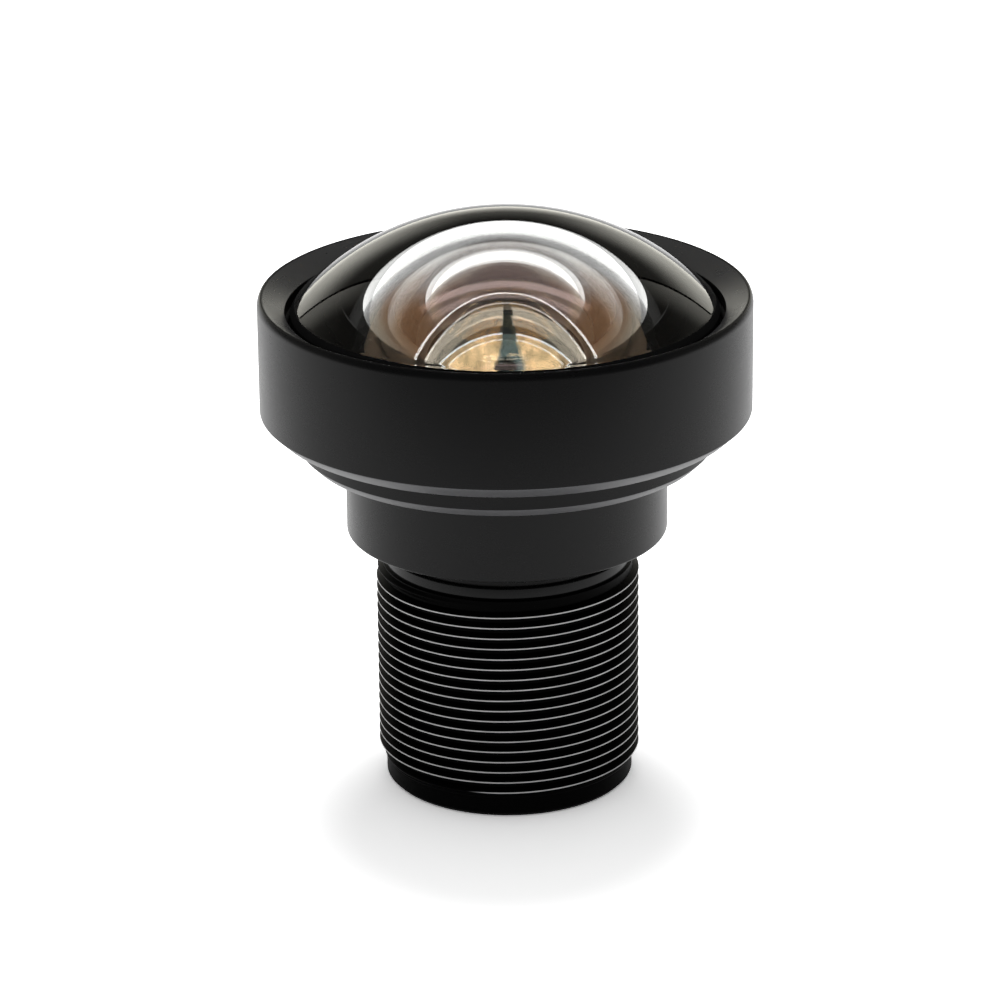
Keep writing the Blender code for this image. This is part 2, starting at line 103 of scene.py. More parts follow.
class Graph:
    """A material's or world's node tree, with one method that adds any node."""

    def __init__(self, tree: bpy.types.NodeTree) -> None:
        """Take a node tree to build in, and empty it."""
        self.tree = tree
        tree.nodes.clear()

    def node(
        self,
        kind: str,
        settings: Optional[dict] = None,
        inputs: Optional[dict] = None,
    ) -> bpy.types.Node:
        """Add a node, set it, and fill its sockets.

        Args:
            kind: The node's type name.
            settings: Attributes of the node, set before its sockets.
            inputs: Socket names or numbers, with a Value, a socket or a plain value for each.

        Returns:
            The new node.
        """
        made = self.tree.nodes.new(kind)
        for name, value in (settings or {}).items():
            setattr(made, name, value)
        for name, value in (inputs or {}).items():
            self.fill(made.inputs[name], value)
        return made

    def fill(self, socket: bpy.types.NodeSocket, value: object) -> None:
        """Link a value to a socket, or set the socket's own value.

        Args:
            socket: The socket to fill.
            value: A Value, an output socket, or a plain value.
        """
        if isinstance(value, Value):
            value = value.socket
        if isinstance(value, bpy.types.NodeSocket):
            self.tree.links.new(value, socket)
        else:
            socket.default_value = value

    def out(self, kind: str, output: Union[str, int], settings: dict, inputs: dict) -> "Value":
        """Add a node, and wrap the output of that name or number."""
        return Value(self, self.node(kind, settings, inputs).outputs[output])

    def place(self) -> "Value":
        """The point in object space."""
        return self.out("ShaderNodeTexCoord", "Object", {}, {})

    def part(self, vector: "Value", axis: Axis) -> "Value":
        """One part of a vector."""
        return self.out("ShaderNodeSeparateXYZ", axis.value, {}, {0: vector})

    def off_axis(self, place: "Value") -> "Value":
        """The distance of a point from the lens's axis: the root of x squared plus y squared."""
        across, along = self.part(place, Axis.X), self.part(place, Axis.Y)
        return (across * across + along * along).root()

    def noise(self, vector: "Value", scale: float, detail: float = 2.0, rough: float = 0.5) -> "Value":
        """Smooth noise from 0 to 1 at a scale per metre, with finer layers and their strength."""
        inputs = {"Vector": vector, "Scale": scale, "Detail": detail, "Roughness": rough}
        return self.out("ShaderNodeTexNoise", "Fac", {}, inputs)

    def scaled(self, vector: "Value", by: Sequence[float]) -> "Value":
        """A vector with each part multiplied."""
        return self.out("ShaderNodeVectorMath", "Vector", {"operation": "MULTIPLY"}, {0: vector, 1: by})

    def mix(self, factor: "Value", low: object, high: object) -> "Value":
        """A colour between two.

        Args:
            factor: How far it is from the low colour to the high one, from 0 to 1.
            low: The colour at 0, plain or linked.
            high: The colour at 1, plain or linked.

        Returns:
            The mixed colour.
        """
        made = self.node("ShaderNodeMix", {"data_type": "RGBA"})
        self.fill(made.inputs[0], factor)
        self.fill(made.inputs[6], low)
        self.fill(made.inputs[7], high)
        return Value(self, made.outputs[2])

    def bump(self, height: "Value", strength: float, depth: float) -> bpy.types.NodeSocket:
        """The normal of a surface with fine relief of that depth, in millimetres."""
        inputs = {"Strength": strength, "Distance": depth * MM, "Height": height}
        return self.node("ShaderNodeBump", {}, inputs).outputs["Normal"]


class Value:
    """A number in a shader, on which the usual operators add Math nodes."""

    def __init__(self, graph: Graph, socket: bpy.types.NodeSocket) -> None:
        """Wrap an output socket of a graph."""
        self.graph = graph
        self.socket = socket

    def _math(self, operation: str, *others: object) -> "Value":
        """Add a Math node with this value first."""
        inputs = {place: other for place, other in enumerate((self, *others))}
        return self.graph.out("ShaderNodeMath", 0, {"operation": operation}, inputs)

    def _reflected(self, operation: str, other: Number) -> "Value":
        """Add a Math node with a plain number first."""
        return self.graph.out("ShaderNodeMath", 0, {"operation": operation}, {0: other, 1: self})

    def __add__(self, other: object) -> "Value":
        """Sum."""
        return self._math("ADD", other)

    __radd__ = __add__

    def __sub__(self, other: object) -> "Value":
        """Difference."""
        return self._math("SUBTRACT", other)

    def __rsub__(self, other: Number) -> "Value":
        """Difference from a number."""
        return self._reflected("SUBTRACT", other)

    def __mul__(self, other: object) -> "Value":
        """Product."""
        return self._math("MULTIPLY", other)

    __rmul__ = __mul__

    def __truediv__(self, other: object) -> "Value":
        """Quotient."""
        return self._math("DIVIDE", other)

    def __rtruediv__(self, other: Number) -> "Value":
        """Quotient of a number."""
        return self._reflected("DIVIDE", other)

    def __pow__(self, other: object) -> "Value":
        """Power."""
        return self._math("POWER", other)

    def root(self) -> "Value":
        """Square root."""
        return self._math("SQRT")

    def sine(self) -> "Value":
        """Sine of an angle in radians."""
        return self._math("SINE")

    def most(self, other: object) -> "Value":
        """The larger of two."""
        return self._math("MAXIMUM", other)

    def size(self) -> "Value":
        """The value without its sign."""
        return self._math("ABSOLUTE")

    def ramp(self, low: float, high: float, to_low: float = 0.0, to_high: float = 1.0) -> "Value":
        """A smooth step, from to_low where the value is low to to_high where it is high."""
        inputs = {"Value": self, "From Min": low, "From Max": high, "To Min": to_low, "To Max": to_high}
        return self.graph.out("ShaderNodeMapRange", "Result", {"interpolation_type": "SMOOTHSTEP"}, inputs)


def new_graph(name: str) -> tuple[bpy.types.Material, Graph]:
    """Make a material with an empty node tree.

    Args:
        name: The material's name.

    Returns:
        The material, and the graph that fills it.
    """
    material = bpy.data.materials.new(name)
    material.use_nodes = True
    return material, Graph(material.node_tree)


def close_graph(graph: Graph, shader: bpy.types.Node) -> None:
    """Link a shader to the material's output."""
    graph.node("ShaderNodeOutputMaterial", {}, {"Surface": shader.outputs[0]})


@dataclass(frozen=True)
class TurnedMetal:
    """Anodised aluminium with fine tool marks round the axis and a soft mottle in the oxide layer.

    Attributes:
        name: The material's name.
        colour: The oxide's colour, linear.
        roughness: Its mean roughness.
        index: The oxide's refractive index, which sets its gloss.
        specular: The share of that gloss.
        metallic: How much bare metal shows through.
        marks: The strength of the tool marks' bump.
        pitch: The distance between tool marks, in metres.
        relief: The height of the tool marks and grain, in millimetres.
    """

    name: str
    colour: Colour
    roughness: float
    index: float = 1.5
    specular: float = 0.5
    metallic: float = 0.0
    marks: float = 0.06
    pitch: float = 0.055 * MM
    relief: float = 0.004

    def build(self) -> bpy.types.Material:
        """Make the material.

        Returns:
            The material, with its nodes linked.
        """
        material, graph = new_graph(self.name)
        place = graph.place()
        height = graph.part(place, Axis.Z)
        radius = graph.off_axis(place)
        wander = graph.noise(place, 900.0, 3.0)
        turn = (height + radius * 0.83) / self.pitch + wander * 1.5
        groove = (turn * math.tau).sine() * 0.5 + 0.5
        streak = graph.noise(graph.scaled(place, (60.0, 60.0, 9000.0)), 1.0, 2.0)
        mottle = graph.noise(place, 420.0, 4.0, 0.6)
        grain = graph.noise(place, 26000.0, 2.0)
        tone = mottle.ramp(0.3, 0.7, 0.86, 1.14) * grain.ramp(0.3, 0.7, 0.94, 1.06)
        share = tone * 0.5 + streak * 0.1 - 0.05
        colour = graph.mix(share, opaque(self.colour, 0.8), opaque(self.colour, 1.2))
        rough = mottle.ramp(0.25, 0.75, self.roughness * 0.94, self.roughness * 1.06) + streak * 0.03 - 0.015
        shader = graph.node(
            "ShaderNodeBsdfPrincipled",
            {},
            {
                "Base Color": colour,
                "Roughness": rough,
                "Metallic": self.metallic,
                "IOR": self.index,
                "Specular IOR Level": self.specular,
                "Normal": graph.bump(groove * 0.5 + grain * 0.5, self.marks, self.relief),
            },
        )
        close_graph(graph, shader)
        return material


@dataclass(frozen=True)
class ThreadMetal:
    """The anodised metal of the thread, thinner along the sharp crests, where a pale colour shows that is
    partly worn oxide and partly a painted highlight.

    Attributes:
        name: The material's name.
        metal: The finish between the crests, darker than the body's anodise as painted shade in the thread's
            valleys.
        crest_wear_and_highlight_colour: The colour of the worn crest, made pale enough to paint a highlight
            along it.
        crest_from: The radius at which the crest starts to show, in metres.
        crest_to: The radius at which it shows fully, in metres.
        crest_metallic: How much bare metal the crest shows.
        marks: The strength of the grain's bump.
        relief: The height of the grain, in millimetres.
    """

    name: str
    metal: TurnedMetal
    crest_wear_and_highlight_colour: Colour
    crest_from: float
    crest_to: float
    crest_metallic: float = 0.4
    marks: float = 0.08
    relief: float = 0.003

    def build(self) -> bpy.types.Material:
        """Make the material.

        Returns:
            The material, with its nodes linked.
        """
        material, graph = new_graph(self.name)
        place = graph.place()
        wear_and_glint = graph.noise(place, 700.0, 3.0, 0.6)
        grain = graph.noise(place, 24000.0, 2.0)
        # The crest mask lays on the pale colour: partly worn oxide, partly a painted highlight along the
        # crests.
        crest = graph.off_axis(place).ramp(self.crest_from, self.crest_to) * wear_and_glint.ramp(0.25, 0.6, 0.75, 1.0)
        shader = graph.node(
            "ShaderNodeBsdfPrincipled",
            {},
            {
                "Base Color": graph.mix(crest, opaque(self.metal.colour), opaque(self.crest_wear_and_highlight_colour)),
                "Roughness": crest * -0.12 + (self.metal.roughness - 0.02) + grain * 0.04,
                "Metallic": crest * self.crest_metallic,
                "IOR": self.metal.index,
                "Specular IOR Level": self.metal.specular,
                "Normal": graph.bump(grain, self.marks, self.relief),
            },
        )
        close_graph(graph, shader)
        return material


@dataclass(frozen=True)
class MattBlack:
    """A matt black surface: paint on a glass edge, film, or rubber.

    Attributes:
        name: The material's name.
        colour: Its colour, linear.
        roughness: Its mean roughness.
        grain: The frequency of its fine grain, per metre.
        relief: The strength of the grain's bump.
        index: The refractive index behind its gloss.
        specular: The share of that gloss.
        grain_height: The height of the grain, in millimetres.
    """

    name: str
    colour: Colour
    roughness: float
    grain: float = 18000.0
    relief: float = 0.15
    index: float = 1.5
    specular: float = 0.5
    grain_height: float = 0.004

    def build(self) -> bpy.types.Material:
        """Make the material.

        Returns:
            The material, with its nodes linked.
        """
        material, graph = new_graph(self.name)
        place = graph.place()
        cloud = graph.noise(place, 800.0, 4.0, 0.6)
        speck = graph.noise(place, self.grain, 2.0)
        dark, light = opaque(self.colour, 0.75), opaque(self.colour, 1.3)
        shader = graph.node(
            "ShaderNodeBsdfPrincipled",
            {},
            {
                "Base Color": graph.mix(cloud * 0.7 + speck * 0.3, dark, light),
                "Roughness": cloud.ramp(0.2, 0.8, self.roughness * 0.92, self.roughness * 1.08),
                "IOR": self.index,
                "Specular IOR Level": self.specular,
                "Normal": graph.bump(speck, self.relief, self.grain_height),
            },
        )
        close_graph(graph, shader)
        return material


@dataclass(frozen=True)
class CoatedGlass:
    """Polished optical glass, plain or under a thin anti-reflection film.

    Attributes:
        name: The material's name.
        index: The glass's refractive index.
        tint: Its faint body colour.
        film: The film's thickness in nanometres, with 0 for a plain surface.
        film_index: The film's refractive index.
    """

    name: str
    index: float
    tint: Colour
    film: float = 0.0
    film_index: float = 1.38

    def build(self) -> bpy.types.Material:
        """Make the material.

        Returns:
            The material, with its nodes linked.
        """
        material, graph = new_graph(self.name)
        place = graph.place()
        veil = graph.noise(place, 350.0, 3.0, 0.55)
        clear = tuple(min(1.0, part) for part in opaque(self.tint, 1.01))
        shader = graph.node(
            "ShaderNodeBsdfPrincipled",
            {},
            {
                "Base Color": graph.mix(veil, opaque(self.tint, 0.985), clear),
                "Roughness": 0.0,
                "IOR": self.index,
                "Transmission Weight": 1.0,
                "Thin Film Thickness": self.film,
                "Thin Film IOR": self.film_index,
            },
        )
        close_graph(graph, shader)
        return material


def to_mesh(
    name: str,
    points: np.ndarray,
    quads: np.ndarray,
    slots: np.ndarray,
    sharp: float = SHARP_DEG,
) -> bpy.types.Object:
    """Put a grid of points and its quads into a smooth mesh with sharp corners.

    Args:
        name: The object's name.
        points: Points in metres, one row each.
        quads: Rows of four point numbers.
        slots: The material slot of each quad.
        sharp: The angle in degrees above which an edge is sharp.

    Returns:
        The new object.
    """
    mesh = bpy.data.meshes.new(name)
    mesh.vertices.add(len(points))
    mesh.vertices.foreach_set("co", points.astype(np.float32).ravel())
    mesh.loops.add(quads.size)
    mesh.loops.foreach_set("vertex_index", quads.astype(np.int32).ravel())
    mesh.polygons.add(len(quads))
    mesh.polygons.foreach_set("loop_start", np.arange(0, quads.size, 4, dtype=np.int32))
    mesh.polygons.foreach_set("material_index", slots.astype(np.int32))
    mesh.update(calc_edges=True)
    joined = bmesh.new()
    joined.from_mesh(mesh)
    bmesh.ops.remove_doubles(joined, verts=joined.verts, dist=MERGE_DISTANCE)
    joined.to_mesh(mesh)
    joined.free()
    mesh.validate()
    mesh.shade_smooth()
    mesh.set_sharp_from_angle(angle=math.radians(sharp))
    made = bpy.data.objects.new(name, mesh)
    bpy.context.scene.collection.objects.link(made)
    return made


def broken(
    outline: np.ndarray,
    radii: np.ndarray,
    slots: np.ndarray,
    ring: bool,
    count: int = 4,
) -> tuple[np.ndarray, np.ndarray]:
    """Round the corners of an outline.

    Each corner is swapped for an arc that touches both of its sides. With the side directions a and b, and
    half the turn between them h, the arc starts radius times tan(h) before the corner and ends as far after
    it. That length is held under half of the shorter side. The arc itself is a rational curve: the start,
    the corner and the end, with the weights (1 - s) squared, 2 cos(h) s (1 - s) and s squared at the share
    s of its length.

    Args:
        outline: Corner points (radius, z), in millimetres.
        radii: The rounding radius at each corner.
        slots: The material slot of the side that follows each corner.
        ring: True if the outline closes on itself.
        count: The number of steps in each arc.

    Returns:
        The rounded outline and the slot of the side after each of its points.
    """
    before = np.roll(outline, 1, axis=0) - outline
    after = np.roll(outline, -1, axis=0) - outline
    reach_before = np.hypot(*before.T)
    reach_after = np.hypot(*after.T)
    a = before / np.maximum(reach_before, 1e-9)[:, None]
    b = after / np.maximum(reach_after, 1e-9)[:, None]
    half = (np.pi - np.arccos(np.clip((a * b).sum(1), -1.0, 1.0))) / 2
    tangent = np.minimum(radii * np.tan(half), 0.45 * np.minimum(reach_before, reach_after))
    if not ring:
        tangent[[0, -1]] = 0.0
    share = np.linspace(0.0, 1.0, count + 1)[None, :, None]
    start = outline + a * tangent[:, None]
    end = outline + b * tangent[:, None]
    weight = np.cos(half)[:, None, None]
    bend = (1 - share) ** 2 * start[:, None] + 2 * weight * share * (1 - share) * outline[:, None]
    total = (1 - share) ** 2 + 2 * weight * share * (1 - share) + share**2
    bend = (bend + share**2 * end[:, None]) / total
    rounded = bend.reshape(-1, 2)
    kept_slots = np.repeat(slots, count + 1)
    step = np.hypot(*(np.roll(rounded, -1, axis=0) - rounded).T)
    keep = step > 1e-6
    if not ring:
        keep[-1] = True
    return rounded[keep], kept_slots[keep]


def turned(
    name: str,
    outline: np.ndarray,
    slots: np.ndarray,
    steps: Steps,
    ring: bool,
    phase: float = 0.0,
) -> tuple[np.ndarray, np.ndarray, np.ndarray]:
    """Turn an outline about +Z.

    A point of the surface is (r cos t, r sin t, z), where (r, z) runs along the outline and t once round.

    Args:
        name: The piece's name, for the log.
        outline: Points (radius, z) in millimetres that run down the outer side.
        slots: The material slot of the side after each point.
        steps: Facets in a full turn.
        ring: True if the outline closes on itself.
        phase: The angle of the first facet, in radians.

    Returns:
        Points in metres, quads, and the slot of each quad.
    """
    count = steps.value
    angle = phase + np.arange(count) * math.tau / count
    r, z = outline[:, :1], outline[:, 1:]
    points = np.stack([r * np.cos(angle), r * np.sin(angle), z + 0 * angle], axis=-1).reshape(-1, 3) * MM
    rows = np.arange(len(outline) if ring else len(outline) - 1)
    row, column = np.meshgrid(rows, np.arange(count), indexing="ij")
    below = (row + 1) % len(outline)
    beside = (column + 1) % count
    corners = [row * count + column, below * count + column, below * count + beside, row * count + beside]
    quads = np.stack(corners, axis=-1).reshape(-1, 4)
    LOG.debug("%s: %d quads", name, len(quads))
    return points, quads, np.repeat(slots[: len(rows)], count)


def sag(radius: float, height: float, edge_z: float, points: int) -> np.ndarray:
    """A spherical surface from the axis to its edge, given by its rise.

    The sphere that rises by s over an edge of radius a has the radius (a squared + s squared) / 2s. A
    negative rise makes the surface hollow.

    Args:
        radius: The edge's radius.
        height: The rise of the centre above the edge.
        edge_z: The edge's level.
        points: The number of steps.

    Returns:
        Points (radius, z) from the axis to the edge.
    """
    sphere = (radius**2 + height**2) / (2 * height)
    angle = np.linspace(0.0, math.asin(radius / abs(sphere)), points + 1)
    return np.stack([abs(sphere) * np.sin(angle), edge_z + height - sphere * (1 - np.cos(angle))], axis=1)


def bowl(sphere: float, apex_z: float, rim_z: float, points: int) -> np.ndarray:
    """A deep spherical hollow from its rim up to the axis, with a straight wall under its equator.

    Args:
        sphere: The hollow's radius.
        apex_z: The level of its deepest point.
        rim_z: The level at which it opens.
        points: The number of steps along the round part.

    Returns:
        Points (radius, z) from the rim to the axis.
    """
    centre = apex_z - sphere
    start = math.asin((rim_z - centre) / sphere) if rim_z > centre else 0.0
    angle = np.linspace(start, math.pi / 2, points + 1)
    arc = np.stack([sphere * np.cos(angle), centre + sphere * np.sin(angle)], axis=1)
    arc[-1, 0] = 0.0
    wall = np.array([[sphere, rim_z]])
    return np.concatenate([wall, arc]) if rim_z < centre - 1e-6 else arc


@dataclass
class Dresser:
    """Puts pieces into the scene in place of their CAD nodes.

    Attributes:
        materials: The finished materials, by name.
    """

    materials: dict[str, bpy.types.Material]

    def place(self, piece: bpy.types.Object, node: str, slot: str, finishes: Sequence[str]) -> None:
        """Dress a piece, and let it stand for a CAD node.

        Args:
            piece: The new object.
            node: The CAD node that it replaces.
            slot: The record's material slot; not used.
            finishes: The material names of the piece's slots, in order.
        """
        for finish in finishes:
            piece.data.materials.append(self.materials[finish])
        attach(piece, BODY)
        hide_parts(node)
        LOG.info("%s: %d faces stand for %s", piece.name, len(piece.data.polygons), node)

    def turn(
        self,
        name: str,
        corners: Sequence[Sequence[float]],
        slot: str,
        finishes: Sequence[str],
        steps: Steps = Steps.PLAIN,
        ring: bool = True,
    ) -> bpy.types.Object:
        """Turn an outline into a piece and place it.

        Args:
            name: The piece's name without its ending, which is also the CAD node's.
            corners: Rows of (radius, z, edge radius, slot number) in millimetres, down the outer side.
            slot: The record's material slot.
            finishes: The material names of the piece's slots, in order.
            steps: Facets in a full turn.
            ring: True if the outline closes on itself.

        Returns:
            The piece.
        """
        table = np.array(corners, float)
        outline, slots = broken(table[:, :2], table[:, 2], table[:, 3].astype(int), ring)
        piece = to_mesh(name + "_fine", *turned(name, outline, slots, steps, ring))
        self.place(piece, name, slot, finishes)
        return piece


def rows(points: np.ndarray, edge: float = 0.0, slot: int = 0) -> list[list[float]]:
    """Corner rows (radius, z, edge radius, slot) for points (radius, z) with one edge radius and slot."""
    count = len(points)
    return np.column_stack([points, np.full(count, edge), np.full(count, slot)]).tolist()


def square(outer: float, inner: float, low: float, high: float) -> np.ndarray:
    """The four corners (radius, z) of a ring of square section, down its outer side first."""
    return np.array([[outer, high], [outer, low], [inner, low], [inner, high]])


def span(node: str) -> tuple[float, float, float]:
    """The lowest level, the highest level and the outer radius of a CAD node, in millimetres."""
    low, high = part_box(node)
    return low.z / MM, high.z / MM, high.x / MM


@dataclass
class Barrel:
    """The turned barrel with its helical thread. Sizes are in millimetres.

    Attributes:
        pitch: The thread's pitch.
        crest: The thread's crest radius.
        root: The thread's root radius.
        start: The level at which the thread starts.
        turns: Full turns, with one at each end in which the thread fades.
        phase_deg: The angle at which the thread starts, so that its crests stand as in the photograph.
        fade: The share of a turn over which the thread grows to its depth.
        flank_deg: The angle of the thread's flanks.
        crest_flat: The width of the crest, as a share of the pitch.
        crest_edge: The width of the rounding beside it, as a share of the pitch.
        crest_ease: Where the middle of that rounding stands, as a share of its straight flank.
        start_gap: The length of the slope between the pilot and the thread's first level.
        end_gap: The length of the slope between the thread's last level and the relief.
        relief: The radius of the relief above the thread.
        relief_shade: How far down from its end the relief runs before its part in the thread's shadow
            starts; that part, down to the thread, takes the thread's dark finish as painted shade.
        relief_end: The level at which the relief ends.
        groove: The radius of the narrower groove above it.
        collar: The level of the collar's shoulder.
        collar_radius: The collar's radius.
        collar_round: The rounding of the collar's lower edge.
        head: The level of the head's underside.
        head_radius: The head's radius.
        head_chamfer: The width of the chamfer round its lower edge.
        flange_z: The level at which the wider flange starts, inside the cap.
        undercut: The radius to which the groove is cut into the collar's shoulder.
        undercut_depth: The depth of that cut.
        pilot: The radius of the pilot below the thread.
        pilot_chamfer: The width and height of the chamfer at its end.
        bore: The radius of the main bore.
        upper_bore: The radius of the bore for the second glass.
        upper_floor: The level of its floor.
        counterbore: The radius of the bore for the retaining ring.
        counterbore_z: The level of its floor.
        rear_bore: The radius of the bore for the filter.
        lip: The inner radius of the lip between that bore and the main one.
        lip_under: The level of the lip's lower side.
        lip_top: The level of its upper side.
    """

    pitch: float = 0.5
    crest: float = 5.98
    root: float = 5.685
    start: float = 1.0
    turns: int = 19
    phase_deg: float = -151.2
    fade: float = 0.35
    flank_deg: float = 30.0
    crest_flat: float = 0.1
    crest_edge: float = 0.035
    crest_ease: float = 0.28
    start_gap: float = 0.06
    end_gap: float = 0.08
    relief: float = 5.57
    relief_shade: float = 0.46
    relief_end: float = 11.09
    groove: float = 5.35
    collar: float = 12.02
    collar_radius: float = 7.27
    collar_round: float = 0.13
    head: float = 15.87
    head_radius: float = 9.4
    head_chamfer: float = 0.4
    flange_z: float = 17.55
    undercut: float = 6.08
    undercut_depth: float = 0.05
    pilot: float = 5.65
    pilot_chamfer: float = 0.2
    bore: float = 4.75
    upper_bore: float = 7.38
    upper_floor: float = 16.56
    counterbore: float = 7.71
    counterbore_z: float = 17.82
    rear_bore: float = 4.45
    lip: float = 3.4
    lip_under: float = 1.17
    lip_top: float = 1.88

    def thread(self, steps: Steps) -> tuple[np.ndarray, np.ndarray, np.ndarray]:
        """The helical strip.

        A point at u turns and the share v of one pitch lies at the angle of u turns and at the level
        start + pitch (u + v - 1). Its radius goes between root and crest with v: a flat root, a straight
        flank at 30 degrees, a small rounded crest and the other flank. In the first and the last turn the
        levels are squeezed between the helix and a level plane, so that the strip ends on two level rings,
        and the depth fades out.

        Args:
            steps: Facets in a full turn.

        Returns:
            Points in metres, quads, and the slot of each quad.
        """
        count = steps.value
        depth = self.crest - self.root
        flank = depth * math.tan(math.radians(self.flank_deg)) / self.pitch
        edge = self.crest_edge
        root_flat = 1 - 2 * flank - self.crest_flat
        v = np.cumsum([0.0, root_flat / 2, flank - edge, edge, edge, self.crest_flat - 2 * edge])
        v = np.concatenate([v, 1 - v[::-1]])
        form = np.array([0.0, 0.0, 1 - edge / flank, 1 - edge / flank * self.crest_ease, 1.0, 1.0])
        form = np.concatenate([form, form[::-1]])
        keep = np.concatenate([[True], np.diff(v) > 1e-6])
        v, form = v[keep], form[keep]
        u = np.arange((self.turns + 1) * count + 1)[:, None] / count
        top = self.turns + 1
        level = self.start + self.pitch * (u + v - 1)
        level = np.where(u < 1, self.start + self.pitch * v * u, level)
        level = np.where(u > self.turns, self.start + self.pitch * (self.turns - (1 - v) * (top - u)), level)
        grow = np.clip((u - 1) / self.fade + 0.5, 0.0, 1.0)
        grow = grow * np.clip((self.turns - u) / self.fade + 0.5, 0.0, 1.0)
        grow = grow * grow * (3 - 2 * grow)
        radius = self.root + depth * form * grow
        angle = math.radians(self.phase_deg) + math.tau * u
        x, y = radius * np.cos(angle), radius * np.sin(angle)
        points = np.stack([x, y, level + 0 * angle], axis=-1).reshape(-1, 3) * MM
        width = len(v)
        column, row = np.meshgrid(np.arange(len(u) - 1), np.arange(width - 1), indexing="ij")
        first = column * width + row
        quads = np.stack([first, first + width, first + width + 1, first + 1], axis=-1).reshape(-1, 4)
        return points, quads, np.ones(len(quads), int)

    def build(self, dresser: Dresser) -> None:
        """Turn the barrel, join the thread to it and place it.

        The outline runs from the thread's first level down round the pilot, up through the stepped bore to
        the seat of the front glass, and down the outside to the thread's last level.

        Args:
            dresser: Places the piece.
        """
        _, seat, flange = span("barrel")
        end = self.start + self.pitch * self.turns
        corners = [
            # Slot 1 gives the pilot and its chamfer the thread's near-black flank colour: painted shade.
            [self.root, self.start, 0.0, 1],
            [self.pilot, self.start - self.start_gap, 0.0, 1],
            [self.pilot, self.pilot_chamfer, EDGE, 1],
            [self.pilot - self.pilot_chamfer, 0.0, EDGE, 0],
            [self.rear_bore, 0.0, EDGE, 0],
            [self.rear_bore, self.lip_under, TIGHT_EDGE, 0],
            [self.lip, self.lip_under, EDGE, 0],
            [self.lip, self.lip_top, EDGE, 0],
            [self.bore, self.lip_top, TIGHT_EDGE, 0],
            [self.bore, self.upper_floor, EDGE, 0],
            [self.upper_bore, self.upper_floor, TIGHT_EDGE, 0],
            [self.upper_bore, self.counterbore_z, EDGE, 0],
            [self.counterbore, self.counterbore_z, TIGHT_EDGE, 0],
            [self.counterbore, seat, EDGE, 0],
            [flange, seat, EDGE, 0],
            [flange, self.flange_z, EDGE, 0],
            [self.head_radius, self.flange_z, SMALL_EDGE, 0],
            # Slot 2 puts a lighter grey on the head's chamfer: a painted reflection of the floor.
            [self.head_radius, self.head + self.head_chamfer, EDGE, 2],
            [self.head_radius - self.head_chamfer, self.head, EDGE, 0],
            [self.collar_radius, self.head, 0.04, 0],
            [self.collar_radius, self.collar, self.collar_round, 0],
            [self.undercut, self.collar, TIGHT_EDGE, 0],
            [self.undercut, self.collar + self.undercut_depth, TIGHT_EDGE, 0],
            [self.groove, self.collar + self.undercut_depth, SMALL_EDGE, 0],
            [self.groove, self.relief_end, SMALL_EDGE, 0],
            [self.relief, self.relief_end, 0.06, 0],
            # From here down to the thread, slot 1 gives the relief the thread's near-black flank colour:
            # painted shade.
            [self.relief, self.relief_end - self.relief_shade, 0.0, 1],
            [self.relief, end + self.end_gap, SMALL_EDGE, 1],
            [self.root, end, 0.0, 1],
        ]
        table = np.array(corners)
        outline, slots = broken(table[:, :2], table[:, 2], table[:, 3].astype(int), False)
        body = turned("barrel", outline, slots, Steps.FINE, False, math.radians(self.phase_deg))
        strip = self.thread(Steps.FINE)
        points = np.concatenate([body[0], strip[0]])
        quads = np.concatenate([body[1], strip[1] + len(body[0])])
        slots = np.concatenate([body[2], strip[2]])
        piece = to_mesh("barrel_threaded", points, quads, slots)
        dresser.place(piece, "barrel", "anodised_aluminium", ["anodised", "thread", "chamfer_painted_sheen"])


